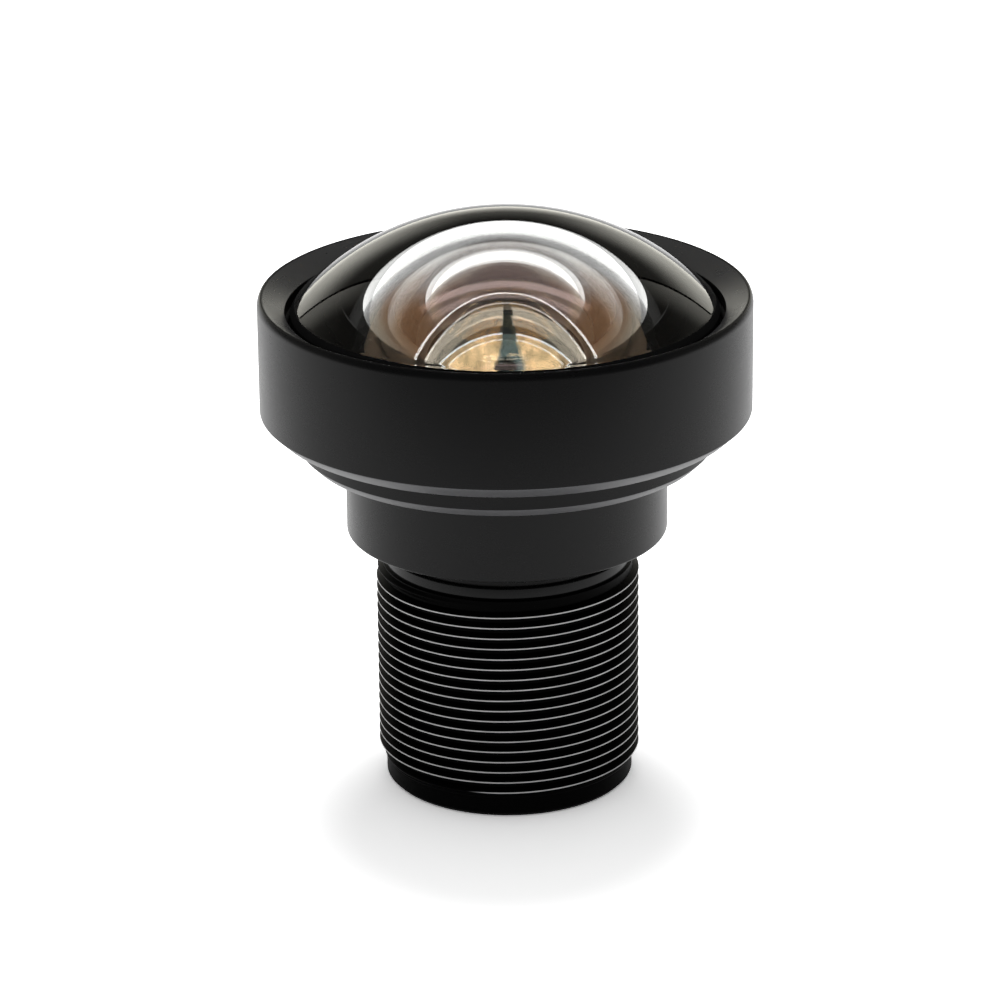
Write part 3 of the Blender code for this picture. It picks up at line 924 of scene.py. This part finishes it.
@dataclass
class FrontGroup:
    """The cap, the front glass and the soft ring between them. Sizes are in millimetres.

    Attributes:
        crest_width: How far inside the cap's wall the crest of its rim lies.
        crest_lift: How far the crest's corner stands over the CAD node, before it is rounded.
        crest_round: The rounding of the crest.
        rim_drop: How far below the crest the rim's outer corner lies.
        rim_round: The rounding of that corner.
        cap_bore: The radius of the cap's bore.
        lip_radius: The inner radius of the cap's lip.
        lip_edge: The level of the lip's upper edge, where the cone on the rim ends.
        lip_under: The level of the lip's underside.
        skirt_width: The width of the chamfer at the foot of the cap.
        skirt_height: The height of that chamfer.
        clear_radius: The radius of the dome's polished part.
        edge_radius: The radius of the front glass's edge.
        edge_height: The height of the dome's edge over the glass's seat.
        bevel_height: The height of the painted bevel under it.
        ledge_drop: The height of the edge between the bevel and the soft ring's ledge.
        thickness: The front glass's thickness on the axis.
        hollow: The radius of the sphere behind it.
        seal_steps: The number of sides of the soft ring's section.
    """

    crest_width: float = 0.13
    crest_lift: float = 0.01
    crest_round: float = 0.15
    rim_drop: float = 0.32
    rim_round: float = 0.5
    cap_bore: float = 10.25
    lip_radius: float = 9.85
    lip_edge: float = 22.45
    lip_under: float = 21.93
    skirt_width: float = 0.58
    skirt_height: float = 0.54
    clear_radius: float = 9.42
    edge_radius: float = 9.6
    edge_height: float = 4.03
    bevel_height: float = 0.32
    ledge_drop: float = 0.95
    thickness: float = 1.55
    hollow: float = 7.95
    seal_steps: int = 24

    def build(self, dresser: Dresser) -> None:
        """Make the three pieces.

        Args:
            dresser: Places the pieces.
        """
        low, high, radius = span("front_cap")
        dresser.turn(
            "front_cap",
            [
                [radius - self.crest_width, high + self.crest_lift, self.crest_round, 0],
                [radius, high - self.rim_drop, self.rim_round, 0],
                # Slot 1 puts a lighter grey on the cap's skirt chamfer: a painted reflection of the floor.
                [radius, low + self.skirt_height, 0.06, 1],
                [radius - self.skirt_width, low, 0.06, 0],
                [self.cap_bore, low, 0.04, 0],
                [self.cap_bore, self.lip_under, TIGHT_EDGE, 0],
                [self.lip_radius, self.lip_under, SMALL_EDGE, 0],
                # Slot 2 puts a lighter grey on the rim's upward cone, up to the crest: a painted sheen from
                # the light above.
                [self.lip_radius, self.lip_edge, 0.04, 2],
            ],
            "anodised_aluminium",
            ["anodised", "chamfer_painted_sheen", "rim_top_painted_sheen"],
            Steps.FINE,
        )
        self.build_glass(dresser)
        self.build_seal(dresser)

    def build_glass(self, dresser: Dresser) -> None:
        """Turn the front glass: polished dome, painted bevel, edge and seat, and polished hollow.

        Args:
            dresser: Places the piece.
        """
        rear, apex, shoulder = span("front_element")
        edge = rear + self.edge_height
        ledge = edge - self.bevel_height - self.ledge_drop
        dome = sag(self.clear_radius, apex - edge, edge, 90)
        hollow = bowl(self.hollow, apex - self.thickness, rear, 72)
        corners = rows(dome[:-1])
        corners += [
            [self.clear_radius, edge, 0.0, 1],
            [self.edge_radius, edge - self.bevel_height, SMALL_EDGE, 1],
            [self.edge_radius, ledge, TIGHT_EDGE, 1],
            [shoulder, ledge, EDGE, 1],
            [shoulder, rear, EDGE, 1],
        ]
        corners += rows(hollow, slot=2)
        finishes = ["front_glass", "edge_paint", "front_inner"]
        dresser.turn("front_element", corners, "front_glass", finishes, Steps.FINE, ring=False)

    def build_seal(self, dresser: Dresser) -> None:
        """Turn the soft ring: a circle of section carried round the axis.

        Args:
            dresser: Places the piece.
        """
        low, high, outer = span("front_seal")
        section = (high - low) / 2
        angle = np.arange(self.seal_steps) * math.tau / self.seal_steps
        radius = outer - section + section * np.sin(angle)
        level = low + section + section * np.cos(angle)
        circle = np.stack([radius, level], axis=1)
        dresser.turn("front_seal", rows(circle), "soft_ring", ["soft_ring"], Steps.PLAIN)


@dataclass
class SecondGroup:
    """The second glass with its retaining ring, shield and spacer. Sizes are in millimetres.

    Attributes:
        head: The radius of the second glass's head.
        edge_z: The level of its polished front's edge.
        flange: The thickness of its mounting flange.
        hollow: The radius of the sphere behind it.
        thickness: Its thickness on the axis.
        shield_inner: The radius of the hole in the shield.
        spacer_head: The thickness of the spacer's wide head.
        spacer_foot: The outer radius of the spacer's foot.
        spacer_bore: The radius of the spacer's bore.
        slot_width: The width of the retaining ring's spanner slots.
        slot_depth: Their depth.
        retainer_gap: The air between that ring and the glass's head.
    """

    head: float = 6.65
    edge_z: float = 20.024
    flange: float = 0.5
    hollow: float = 4.6
    thickness: float = 1.25
    shield_inner: float = 4.2
    spacer_head: float = 0.6
    spacer_foot: float = 4.72
    spacer_bore: float = 4.27
    slot_width: float = 0.6
    slot_depth: float = 0.35
    retainer_gap: float = 0.06

    def build(self, dresser: Dresser) -> None:
        """Make the four pieces.

        Args:
            dresser: Places the pieces.
        """
        self.build_glass(dresser)
        self.build_retainer(dresser)
        low, high, outer = span("light_shield")
        film = square(outer, self.shield_inner, low, high)
        dresser.turn("light_shield", rows(film, 0.01), "blackened_film", ["film"])
        low, high, outer = span("front_spacer")
        dresser.turn(
            "front_spacer",
            [
                [outer, high, 0.04, 0],
                [outer, high - self.spacer_head, 0.04, 0],
                [self.spacer_foot, high - self.spacer_head, TIGHT_EDGE, 0],
                [self.spacer_foot, low, 0.04, 0],
                [self.spacer_bore, low, TIGHT_EDGE, 0],
                [self.spacer_bore, high, TIGHT_EDGE, 0],
            ],
            "blackened_aluminium",
            ["blackened"],
        )

    def build_glass(self, dresser: Dresser) -> None:
        """Turn the second glass: polished front and hollow, finely ground side and flange.

        Args:
            dresser: Places the piece.
        """
        low, apex, flange = span("second_element")
        front = sag(self.head, apex - self.edge_z, self.edge_z, 72)
        hollow = bowl(self.hollow, apex - self.thickness, low, 72)
        corners = rows(front[:-1])
        corners += [
            [self.head, self.edge_z, 0.0, 1],
            [self.head, low + self.flange, TIGHT_EDGE, 1],
            [flange, low + self.flange, SMALL_EDGE, 1],
            [flange, low, SMALL_EDGE, 1],
        ]
        corners += rows(hollow, slot=2)
        finishes = ["second_glass", "ground_edge", "second_inner"]
        dresser.turn("second_element", corners, "second_glass", finishes, Steps.FINE, ring=False)

    def build_retainer(self, dresser: Dresser) -> None:
        """Turn the retaining ring, and cut its spanner slots.

        Args:
            dresser: Places the piece.
        """
        low, high, outer = span("inner_retainer")
        ring = square(outer, self.head + self.retainer_gap, low, high)
        piece = dresser.turn("inner_retainer", rows(ring, EDGE), "blackened_aluminium", ["blackened"])
        cut_slot(piece, outer, high, self.slot_width, self.slot_depth)


def cut_slot(piece: bpy.types.Object, outer: float, face: float, width: float, depth: float) -> None:
    """Cut a straight spanner slot across both sides of a ring's face.

    The cutting block reaches as far over the face as into the ring, so it serves faces that look up or down.

    Args:
        piece: The ring.
        outer: Its outer radius, in millimetres.
        face: The level of the slotted face, in millimetres.
        width: The slot's width, in millimetres.
        depth: The slot's depth, in millimetres.
    """
    overrun = 1.0
    half = np.array([outer + overrun, width / 2, depth]) * MM
    level = np.array([[-1, -1], [1, -1], [1, 1], [-1, 1]])
    corner = np.column_stack([np.tile(level, (2, 1)), np.repeat([-1, 1], 4)])
    sides = [[0, 3, 2, 1], [4, 5, 6, 7], [0, 1, 5, 4], [1, 2, 6, 5], [2, 3, 7, 6], [3, 0, 4, 7]]
    mesh = bpy.data.meshes.new("slot_block")
    mesh.from_pydata((corner * half + np.array([0.0, 0.0, face * MM])).tolist(), [], sides)
    block = bpy.data.objects.new("slot_block", mesh)
    bpy.context.scene.collection.objects.link(block)
    cut = piece.modifiers.new("slot", "BOOLEAN")
    cut.operation = "DIFFERENCE"
    cut.solver = "EXACT"
    cut.object = block
    evaluated = piece.evaluated_get(bpy.context.evaluated_depsgraph_get())
    cut_mesh = bpy.data.meshes.new_from_object(evaluated)
    piece.modifiers.clear()
    old = piece.data
    piece.data = cut_mesh
    bpy.data.meshes.remove(old)
    bpy.data.objects.remove(block, do_unlink=True)
    piece.data.set_sharp_from_angle(angle=math.radians(SHARP_DEG))


@dataclass(frozen=True)
class Element:
    """A small element of the stack. Sizes are in millimetres.

    Attributes:
        name: The CAD node's name.
        glass: Its glass, which is also the record's material slot.
        edge: The thickness at the rim.
        front: How far the centre of the front surface stands out, with a negative rise for a hollow.
        rear: The same for the rear surface.
        seat: The width of the flat ring round the rear surface.
    """

    name: str
    glass: str
    edge: float
    front: float
    rear: float
    seat: float = 0.6


ELEMENTS = (
    Element("third_element", "flint_glass", edge=1.18, front=0.73, rear=0.98),
    Element("fourth_element", "crown_glass", edge=1.08, front=0.62, rear=0.65),
    Element("fifth_element", "crown_glass", edge=0.8, front=1.06, rear=1.63),
    Element("sixth_element", "flint_glass", edge=2.5, front=-1.63, rear=-0.2),
    Element("seventh_element", "crown_glass", edge=1.2, front=1.35, rear=0.62, seat=1.45),
)


@dataclass
class Stack:
    """The small elements, their spacers and the stop in the main bore. Sizes are in millimetres.

    Attributes:
        wall: The thickness of a spacer's wall.
        seat: The width of the flat ring round an element's front surface.
        surface_steps: The number of steps from the axis to a surface's edge.
        stop_hole: The radius of the stop's hole.
        ring_width: The width of the rear retaining ring.
        slot_width: The width of its spanner slots.
        slot_depth: Their depth.
    """

    wall: float = 0.45
    seat: float = 0.6
    surface_steps: int = 32
    stop_hole: float = 1.35
    ring_width: float = 1.02
    slot_width: float = 0.6
    slot_depth: float = 0.35

    def build(self, dresser: Dresser) -> None:
        """Make every piece of the stack.

        Args:
            dresser: Places the pieces.
        """
        for element in ELEMENTS:
            self.build_element(dresser, element)
        for name in ("lens_spacer", "stop_spacer", "middle_spacer", "rear_spacer"):
            self.flat_ring(dresser, name, span(name)[2] - self.wall)
        self.flat_ring(dresser, "aperture_stop", self.stop_hole, "blackened_film", "film")
        low, high, outer = span("ir_cut_filter")
        plate = [
            [0.0, high, 0.0, 0],
            [outer, high, SMALL_EDGE, 0],
            [outer, low, SMALL_EDGE, 0],
            [0.0, low, 0.0, 0],
        ]
        dresser.turn("ir_cut_filter", plate, "filter_glass", ["filter_glass"], ring=False)
        low, _, outer = span("rear_retainer")
        ring = self.flat_ring(dresser, "rear_retainer", outer - self.ring_width)
        cut_slot(ring, outer, low, self.slot_width, self.slot_depth)

    def flat_ring(
        self,
        dresser: Dresser,
        name: str,
        inner: float,
        slot: str = "blackened_aluminium",
        finish: str = "blackened",
    ) -> bpy.types.Object:
        """Turn a plain ring of square section and place it.

        Args:
            dresser: Places the piece.
            name: The CAD node's name.
            inner: The radius of the ring's hole.
            slot: The record's material slot.
            finish: The ring's finish.

        Returns:
            The ring.
        """
        low, high, outer = span(name)
        corners = rows(square(outer, inner, low, high), TIGHT_EDGE)
        return dresser.turn(name, corners, slot, [finish], Steps.HIDDEN)

    def build_element(self, dresser: Dresser, element: Element) -> None:
        """Turn one small element with painted edges and place it.

        Args:
            dresser: Places the piece.
            element: The element's sizes and glass.
        """
        low, _, outer = span(element.name)
        bottom = low + max(element.rear, 0.0)
        top = bottom + element.edge
        corners = rows(sag(outer - self.seat, element.front, top, self.surface_steps)[:-1])
        corners += [
            [outer - self.seat, top, 0.0, 1],
            [outer, top, SMALL_EDGE, 1],
            [outer, bottom, SMALL_EDGE, 1],
        ]
        corners += rows(sag(outer - element.seat, -element.rear, bottom, self.surface_steps)[::-1])
        finishes = [element.glass, "edge_paint"]
        dresser.turn(element.name, corners, element.glass, finishes, Steps.HIDDEN, ring=False)


@dataclass
class Studio:
    """The floor, the tent, the lamp and the camera. Lengths are in metres.

    Attributes:
        distance: The camera's distance in front of the lens's axis.
        height: Its height over the floor.
        pitch_deg: How far it looks down.
        roll_deg: Its turn about its own axis.
        yaw_deg: Its turn about the vertical.
        focal: The focal length for the sensor's width, in millimetres.
        sensor: The sensor's width, in millimetres.
        floor_size: Half the floor's side.
        floor_tone: The floor's own tone.
        floor_lift: How much the floor glows for the camera, which keeps the lens's shadow pale.
        ambient: The tent's plain light on every surface.
        wall_tone: The brightness of the wall behind, as the glass shows it.
        cream_tone: The brightness of the low walls beside and in front.
        side_tone: The brightness of the same walls higher up.
        side_colour: Their colour higher up.
        cream: Their colour near the floor.
        roof_tone: The brightness of the roof.
        roof_colour: The roof's colour.
        line_tone: The brightness of the lamp line across the roof.
        opening_half: Half the width of the opening in the front wall, as a tangent.
        opening_rise: Its height, as a tangent.
        opening_power: How square its arch is, with 2 for an ellipse.
        outer_band: Half the width, and the height, of the outer band in the opening.
        inner_band: The same for the dark arch inside that band.
        hoop: The same for the hoop round the cloth, and how square it is.
        band_tone: The brightness of the outer band.
        gloom: The brightness of the dark inside of the opening.
        cloth_tone: The brightness of the cloth.
        cloth_colour: The cloth's colour.
        edge_tone: The brightness of the hoop's lit edge.
        edge_colour: The colour of that edge.
        slit_half: Half the width of the slit in the cloth.
        slit_side: How far the slit stands to the side.
        slit_tone: The brightness of the slit.
        slit_colour: Its colour.
        strip_tone: The brightness of the lamp strip along the opening.
        eye_deg: How high the dark disc in front of the camera stands.
        eye_half_deg: Half the angle that it covers.
        screen_tone: The brightness of the white screen behind, as metal mirrors it near the floor.
        screen_middle: Its brightness a little higher.
        screen_half: Half the width of the screen, as a tangent.
        screen_colour: The screen's colour.
        dusk_tone: The share of its brightness that is left high up.
        side_dark: The brightness beside the screen.
        front_tone: The share of the light that comes from in front.
        top_tone: The brightness straight up.
        lamp_size: The width of the overhead lamp.
        lamp_power: The lamp's power, in watts.
        lamp_place: Where it hangs.
    """

    distance: float = 0.2
    height: float = 0.089374
    pitch_deg: float = 20.8507
    roll_deg: float = -0.5749
    yaw_deg: float = -0.0909
    focal: float = 169.947
    sensor: float = 36.0
    floor_size: float = 2.0
    floor_tone: float = 0.8
    floor_lift: float = 0.12
    ambient: float = 0.55
    wall_tone: float = 2.2
    cream_tone: float = 1.7
    side_tone: float = 0.9
    side_colour: Colour = (1.0, 0.5, 0.24)
    cream: Colour = (1.0, 0.88, 0.7)
    roof_tone: float = 0.7
    roof_colour: Colour = (1.0, 0.76, 0.74)
    line_tone: float = 3.0
    opening_half: float = 1.95
    opening_rise: float = 4.5
    opening_power: float = 2.5
    outer_band: tuple[float, float] = (1.5, 2.25)
    inner_band: tuple[float, float] = (1.2, 1.54)
    hoop: tuple[float, float, float] = (1.1, 1.03, 1.8)
    band_tone: float = 5.0
    gloom: float = 0.02
    cloth_tone: float = 9.0
    cloth_colour: Colour = (1.0, 0.7, 0.37)
    edge_tone: float = 24.0
    edge_colour: Colour = (0.85, 0.93, 1.0)
    slit_half: float = 0.11
    slit_side: float = 0.06
    slit_tone: float = 1.1
    slit_colour: Colour = (0.75, 1.0, 0.95)
    strip_tone: float = 30.0
    eye_deg: float = 22.0
    eye_half_deg: float = 7.0
    screen_tone: float = 2.2
    screen_middle: float = 1.15
    screen_half: float = 0.64
    screen_colour: Colour = (1.0, 0.98, 0.88)
    dusk_tone: float = 0.06
    side_dark: float = 0.1
    front_tone: float = 0.05
    top_tone: float = 0.05
    lamp_size: float = 0.16
    lamp_power: float = 0.6
    lamp_place: tuple[float, float, float] = (0.0, 0.1, 0.3)

    def build(self) -> None:
        """Make the studio."""
        self.build_floor()
        self.build_world()
        self.build_lamp()
        self.build_camera()
        settings = bpy.context.scene.view_settings
        settings.view_transform = "Standard"
        LOG.info("studio ready")

    def build_floor(self) -> None:
        """Lay the pale floor.

        Glass shows it with a glow of its own. What metal mirrors of it is darker in front and a little
        brighter behind, with the floor's own Y coordinate.
        """
        side = self.floor_size
        mesh = bpy.data.meshes.new("floor")
        corners = [(-side, -side, 0), (side, -side, 0), (side, side, 0), (-side, side, 0)]
        mesh.from_pydata(corners, [], [(0, 1, 2, 3)])
        floor = bpy.data.objects.new("floor", mesh)
        bpy.context.scene.collection.objects.link(floor)
        material, graph = new_graph("pale_floor")
        path = graph.node("ShaderNodeLightPath")
        seen = Value(graph, path.outputs["Is Camera Ray"])
        through = Value(graph, path.outputs["Is Transmission Ray"])
        mirrored = Value(graph, path.outputs["Is Glossy Ray"]) * (1 - through)
        depth = graph.part(graph.place(), Axis.Y)
        far = depth.ramp(-0.09, -0.02, -0.6, 0.1) + depth.ramp(-0.02, 0.05, 0.0, 0.1)
        tone = self.floor_tone + seen + mirrored * far
        grey = graph.node("ShaderNodeCombineColor", {}, {0: tone, 1: tone, 2: tone})
        cover = graph.node("ShaderNodeBsdfDiffuse", {}, {"Color": grey.outputs[0]})
        lift = graph.node("ShaderNodeEmission", {}, {"Strength": seen * self.floor_lift + through * 0.6})
        both = graph.node("ShaderNodeAddShader", {}, {0: cover.outputs[0], 1: lift.outputs[0]})
        close_graph(graph, both)
        mesh.materials.append(material)

    def tent(self, graph: Graph, way: Value) -> tuple[Value, Value]:
        """What the glass shows of the tent in a direction.

        Seen from the lens, a direction (x, y, z) towards the front meets the tent's front wall at
        u = x / -y across and h = z / -y up. The opening in that wall is an arch with a bright lamp strip
        along its edge. Inside are a bright band between two arches, a hoop with a lit edge, and in the hoop
        a creased cloth with a slit for the camera. Each mask is a smooth step on how far out the point is,
        with 1 on the arch's line.

        Args:
            graph: The world's graph.
            way: The direction.

        Returns:
            The tent's colour, and its strength.
        """
        back = graph.part(way, Axis.Y)
        ahead = (0 - back).most(0.001)
        up = graph.part(way, Axis.Z)
        u = graph.part(way, Axis.X) / ahead
        h = up.most(0.0) / ahead
        reach = self.round(u, h, self.opening_half, self.opening_rise, self.opening_power)
        inside = reach.ramp(0.99, 1.0, 1.0, 0.0)
        strip = reach.ramp(0.92, 0.935) * reach.ramp(0.99, 1.005, 1.0, 0.0)
        within, past = self.round(u, h, *self.outer_band), self.round(u, h, *self.inner_band)
        band = within.ramp(0.97, 1.0, 1.0, 0.0) * past.ramp(0.98, 1.02)
        hoop = self.round(u, h, *self.hoop)
        cloth = hoop.ramp(0.97, 0.99, 1.0, 0.0)
        edge = hoop.ramp(0.96, 0.98) * hoop.ramp(1.0, 1.02, 1.0, 0.0)
        fold = graph.noise(graph.scaled(way, (9.0, 5.0, 4.0)), 1.0, 4.0, 0.6).ramp(0.35, 0.65, 0.35, 1.0)
        half = h.ramp(0.3, 1.0, self.slit_half * 1.6, self.slit_half)
        slit = ((u - self.slit_side).size() / half).ramp(0.9, 1.1, 1.0, 0.0)
        tilt = math.radians(self.eye_deg)
        towards = ahead * math.cos(tilt) + up * math.sin(tilt)
        rim = math.radians(self.eye_half_deg + 1.0)
        eye = towards.ramp(math.cos(rim), math.cos(math.radians(self.eye_half_deg)))
        light = cloth * fold * self.cloth_tone + edge * self.edge_tone + band * self.band_tone
        light = (light + hoop.ramp(1.3, 1.5, self.gloom * 20, self.gloom)) * (1 - slit)
        light = (light + slit * cloth.ramp(0.0, 1.0, 0.1, self.slit_tone)) * (1 - eye)
        behind = back.ramp(0.15, 0.55)
        dusk = up.ramp(0.08, 0.3, self.cream_tone, self.side_tone)
        wall = behind * self.wall_tone + (1 - behind) * dusk
        wall = wall + up.ramp(0.62, 0.78) * (self.roof_tone - wall)
        lamp = back.ramp(-0.16, -0.12) * back.ramp(-0.06, -0.02, 1.0, 0.0) * up.ramp(0.5, 0.7)
        wall = wall + lamp * self.line_tone
        wall = wall * (1 - reach.ramp(1.0, 1.8, 0.85, 0.0) * up.ramp(0.85, 0.95))
        strength = wall * (1 - inside) + light * inside + strip * self.strip_tone
        side = graph.mix(up.ramp(0.05, 0.3), opaque(self.cream), opaque(self.side_colour))
        side = graph.mix(up.ramp(0.5, 0.75), side, opaque(self.roof_colour))
        outer = graph.mix(behind * up.ramp(0.66, 0.85, 1.0, 0.0), side, WHITE)
        colour = graph.mix(inside * (1 - strip), outer, opaque(self.cream))
        colour = graph.mix(cloth * inside, colour, opaque(self.cloth_colour))
        colour = graph.mix(slit * inside, colour, opaque(self.slit_colour))
        colour = graph.mix(edge * inside, colour, opaque(self.edge_colour))
        return graph.mix(strip, colour, WHITE), strength

    def round(self, u: Value, h: Value, half: float, rise: float, power: float = 2.0) -> Value:
        """How far out a point of the front wall is, with 1 on an arch that is squarer at a higher power."""
        return ((u.size() / half) ** power + (h / rise) ** power) ** (1 / power)

    def calm(self, graph: Graph, way: Value) -> Value:
        """How bright the tent is for what metal and the dome's skin mirror.

        A white screen stands behind the lens, brightest near the floor, with a dark line at its edges.
        Beside it and in front the tent is dark. A direction meets the screen's wall at |x| / y to the side.

        Args:
            graph: The world's graph.
            way: The direction.

        Returns:
            The brightness.
        """
        back = graph.part(way, Axis.Y)
        up = graph.part(way, Axis.Z)
        beside = graph.part(way, Axis.X).size() / back.most(0.001)
        low = up.ramp(-0.05, 0.1, self.screen_tone, self.screen_middle)
        low = low * up.ramp(0.1, 0.42, 1.0, self.dusk_tone)
        low = low * (1 - beside.ramp(0.05, 0.35, 0.8, 0.0) * up.ramp(0.0, 0.2))
        half = self.screen_half
        past = beside.ramp(half + 0.02, 1.1, 0.5, self.side_dark) * (1 - up.ramp(0.3, 0.6, 0.0, 0.6))
        line = beside.ramp(half - 0.01, half) * beside.ramp(half + 0.02, half + 0.03, 1.0, 0.0)
        screen = beside.ramp(half, half + 0.01, 1.0, 0.0)
        behind = (low * screen + past * (1 - screen)) * (1 - line)
        return back.ramp(-0.5, 0.1, self.front_tone, 1.0) * behind + up.ramp(0.6, 0.95, 0.0, self.top_tone)

    def build_world(self) -> None:
        """Light the scene evenly, and let glass and metal see the tent.

        The camera sees plain white. Rays that have passed through glass see the tent, rays from metal and
        from the dome's skin see its calm form, and every other ray finds the same plain light all round.
        """
        world = bpy.data.worlds.new("tent")
        world.use_nodes = True
        graph = Graph(world.node_tree)
        path = graph.node("ShaderNodeLightPath")
        seen = Value(graph, path.outputs["Is Camera Ray"])
        through = Value(graph, path.outputs["Is Transmission Ray"])
        mirrored = Value(graph, path.outputs["Is Glossy Ray"]) * (1 - through)
        way = graph.out("ShaderNodeTexCoord", "Generated", {}, {})
        colour, strength = self.tent(graph, way)
        plain = seen + (1 - seen) * self.ambient
        other = mirrored * self.calm(graph, way) + (1 - mirrored) * plain
        pale = graph.mix(mirrored, WHITE, opaque(self.screen_colour))
        shader = graph.node(
            "ShaderNodeBackground",
            {},
            {
                "Color": graph.mix(through, pale, colour),
                "Strength": through * strength + (1 - through) * other,
            },
        )
        graph.node("ShaderNodeOutputWorld", {}, {"Surface": shader.outputs[0]})
        bpy.context.scene.world = world

    def build_lamp(self) -> None:
        """Hang a large soft lamp over and a little behind the lens."""
        light = bpy.data.lights.new("overhead", "AREA")
        light.shape = "DISK"
        light.size = self.lamp_size
        light.energy = self.lamp_power
        lamp = bpy.data.objects.new("overhead", light)
        lamp.location = self.lamp_place
        aim = Vector((0.0, 0.0, 0.0)) - lamp.location
        lamp.rotation_euler = aim.to_track_quat("-Z", "Y").to_euler()
        lamp.visible_camera = False
        lamp.visible_glossy = False
        lamp.visible_transmission = False
        bpy.context.scene.collection.objects.link(lamp)

    def build_camera(self) -> None:
        """Set the camera where the photograph was taken from.

        It looks along (sin yaw cos pitch, cos yaw cos pitch, -sin pitch), and its right and up sides are
        turned about that line by the roll.
        """
        pitch, roll, yaw = (math.radians(a) for a in (self.pitch_deg, self.roll_deg, self.yaw_deg))
        ahead = Vector((math.sin(yaw) * math.cos(pitch), math.cos(yaw) * math.cos(pitch), -math.sin(pitch)))
        right = Vector((math.cos(yaw), -math.sin(yaw), 0.0))
        up = right.cross(ahead)
        turned_right = right * math.cos(roll) + up * math.sin(roll)
        turned_up = up * math.cos(roll) - right * math.sin(roll)
        data = bpy.data.cameras.new("camera")
        data.sensor_width = self.sensor
        data.lens = self.focal
        data.clip_start = 0.01
        data.clip_end = 20.0
        camera = bpy.data.objects.new("camera", data)
        matrix = Matrix((turned_right, turned_up, -ahead)).transposed().to_4x4()
        matrix.translation = Vector((0.0, -self.distance, self.height))
        camera.matrix_world = matrix
        bpy.context.scene.collection.objects.link(camera)
        bpy.context.scene.camera = camera


ANODISED = TurnedMetal("anodised_black", (0.0045, 0.0045, 0.0047), 0.28, specular=0.25)
# Lighter grey copy of the anodise for the chamfers: a painted reflection of the floor.
CHAMFER_PAINTED_SHEEN = TurnedMetal("chamfer_painted_sheen", (0.11, 0.11, 0.115), 0.32, specular=0.5)
# Lighter copy of the anodise for the rim's top: a painted sheen.
RIM_TOP_PAINTED_SHEEN = TurnedMetal("rim_top_painted_sheen", (0.03, 0.03, 0.0305), 0.28, specular=0.5)
FINISHES = {
    "anodised": ANODISED,
    "chamfer_painted_sheen": CHAMFER_PAINTED_SHEEN,
    "rim_top_painted_sheen": RIM_TOP_PAINTED_SHEEN,
    "thread": ThreadMetal(
        "anodised_thread",
        # Near-black flank colour with little gloss: painted shade in the thread's valleys.
        TurnedMetal("thread_flank_painted_shade", (0.0008, 0.0008, 0.0008), 0.4, specular=0.03),
        # Pale crest colour: worn metal, and a painted highlight along the crests.
        (0.8, 0.8, 0.8),
        crest_from=5.958 * MM,
        crest_to=5.976 * MM,
    ),
    "blackened": TurnedMetal("blackened_metal", (0.012, 0.012, 0.0125), 0.5),
    "edge_paint": MattBlack("edge_paint", (0.006, 0.006, 0.006), 0.45, specular=0.0),
    "ground_edge": MattBlack("ground_edge", (0.45, 0.40, 0.33), 0.7, specular=0.0),
    "film": MattBlack("black_film", (0.008, 0.008, 0.008), 0.6),
    "soft_ring": MattBlack("soft_ring", (0.012, 0.012, 0.012), 0.65, relief=0.3),
    "front_glass": CoatedGlass("front_glass", 1.77, (0.985, 0.99, 0.975)),
    "front_inner": CoatedGlass("front_glass_inner", 1.77, (0.985, 0.99, 0.975)),
    "second_glass": CoatedGlass("second_glass", 1.62, (0.985, 0.98, 0.99)),
    "second_inner": CoatedGlass("second_glass_inner", 1.62, (0.985, 0.98, 0.99), film=110.0),
    "crown_glass": CoatedGlass("crown_glass", 1.52, (0.985, 0.985, 0.98)),
    "flint_glass": CoatedGlass("flint_glass", 1.81, (0.98, 0.975, 0.96)),
    "filter_glass": CoatedGlass("filter_glass", 1.52, (0.80, 0.95, 0.93), film=115.0),
}


def main() -> None:
    """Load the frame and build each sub-assembly."""
    logging.basicConfig(level=logging.INFO, format="%(name)s: %(message)s")
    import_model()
    dresser = Dresser({name: finish.build() for name, finish in FINISHES.items()})
    Barrel().build(dresser)
    FrontGroup().build(dresser)
    SecondGroup().build(dresser)
    Stack().build(dresser)
    Studio().build()


if __name__ == "__main__":
    main()
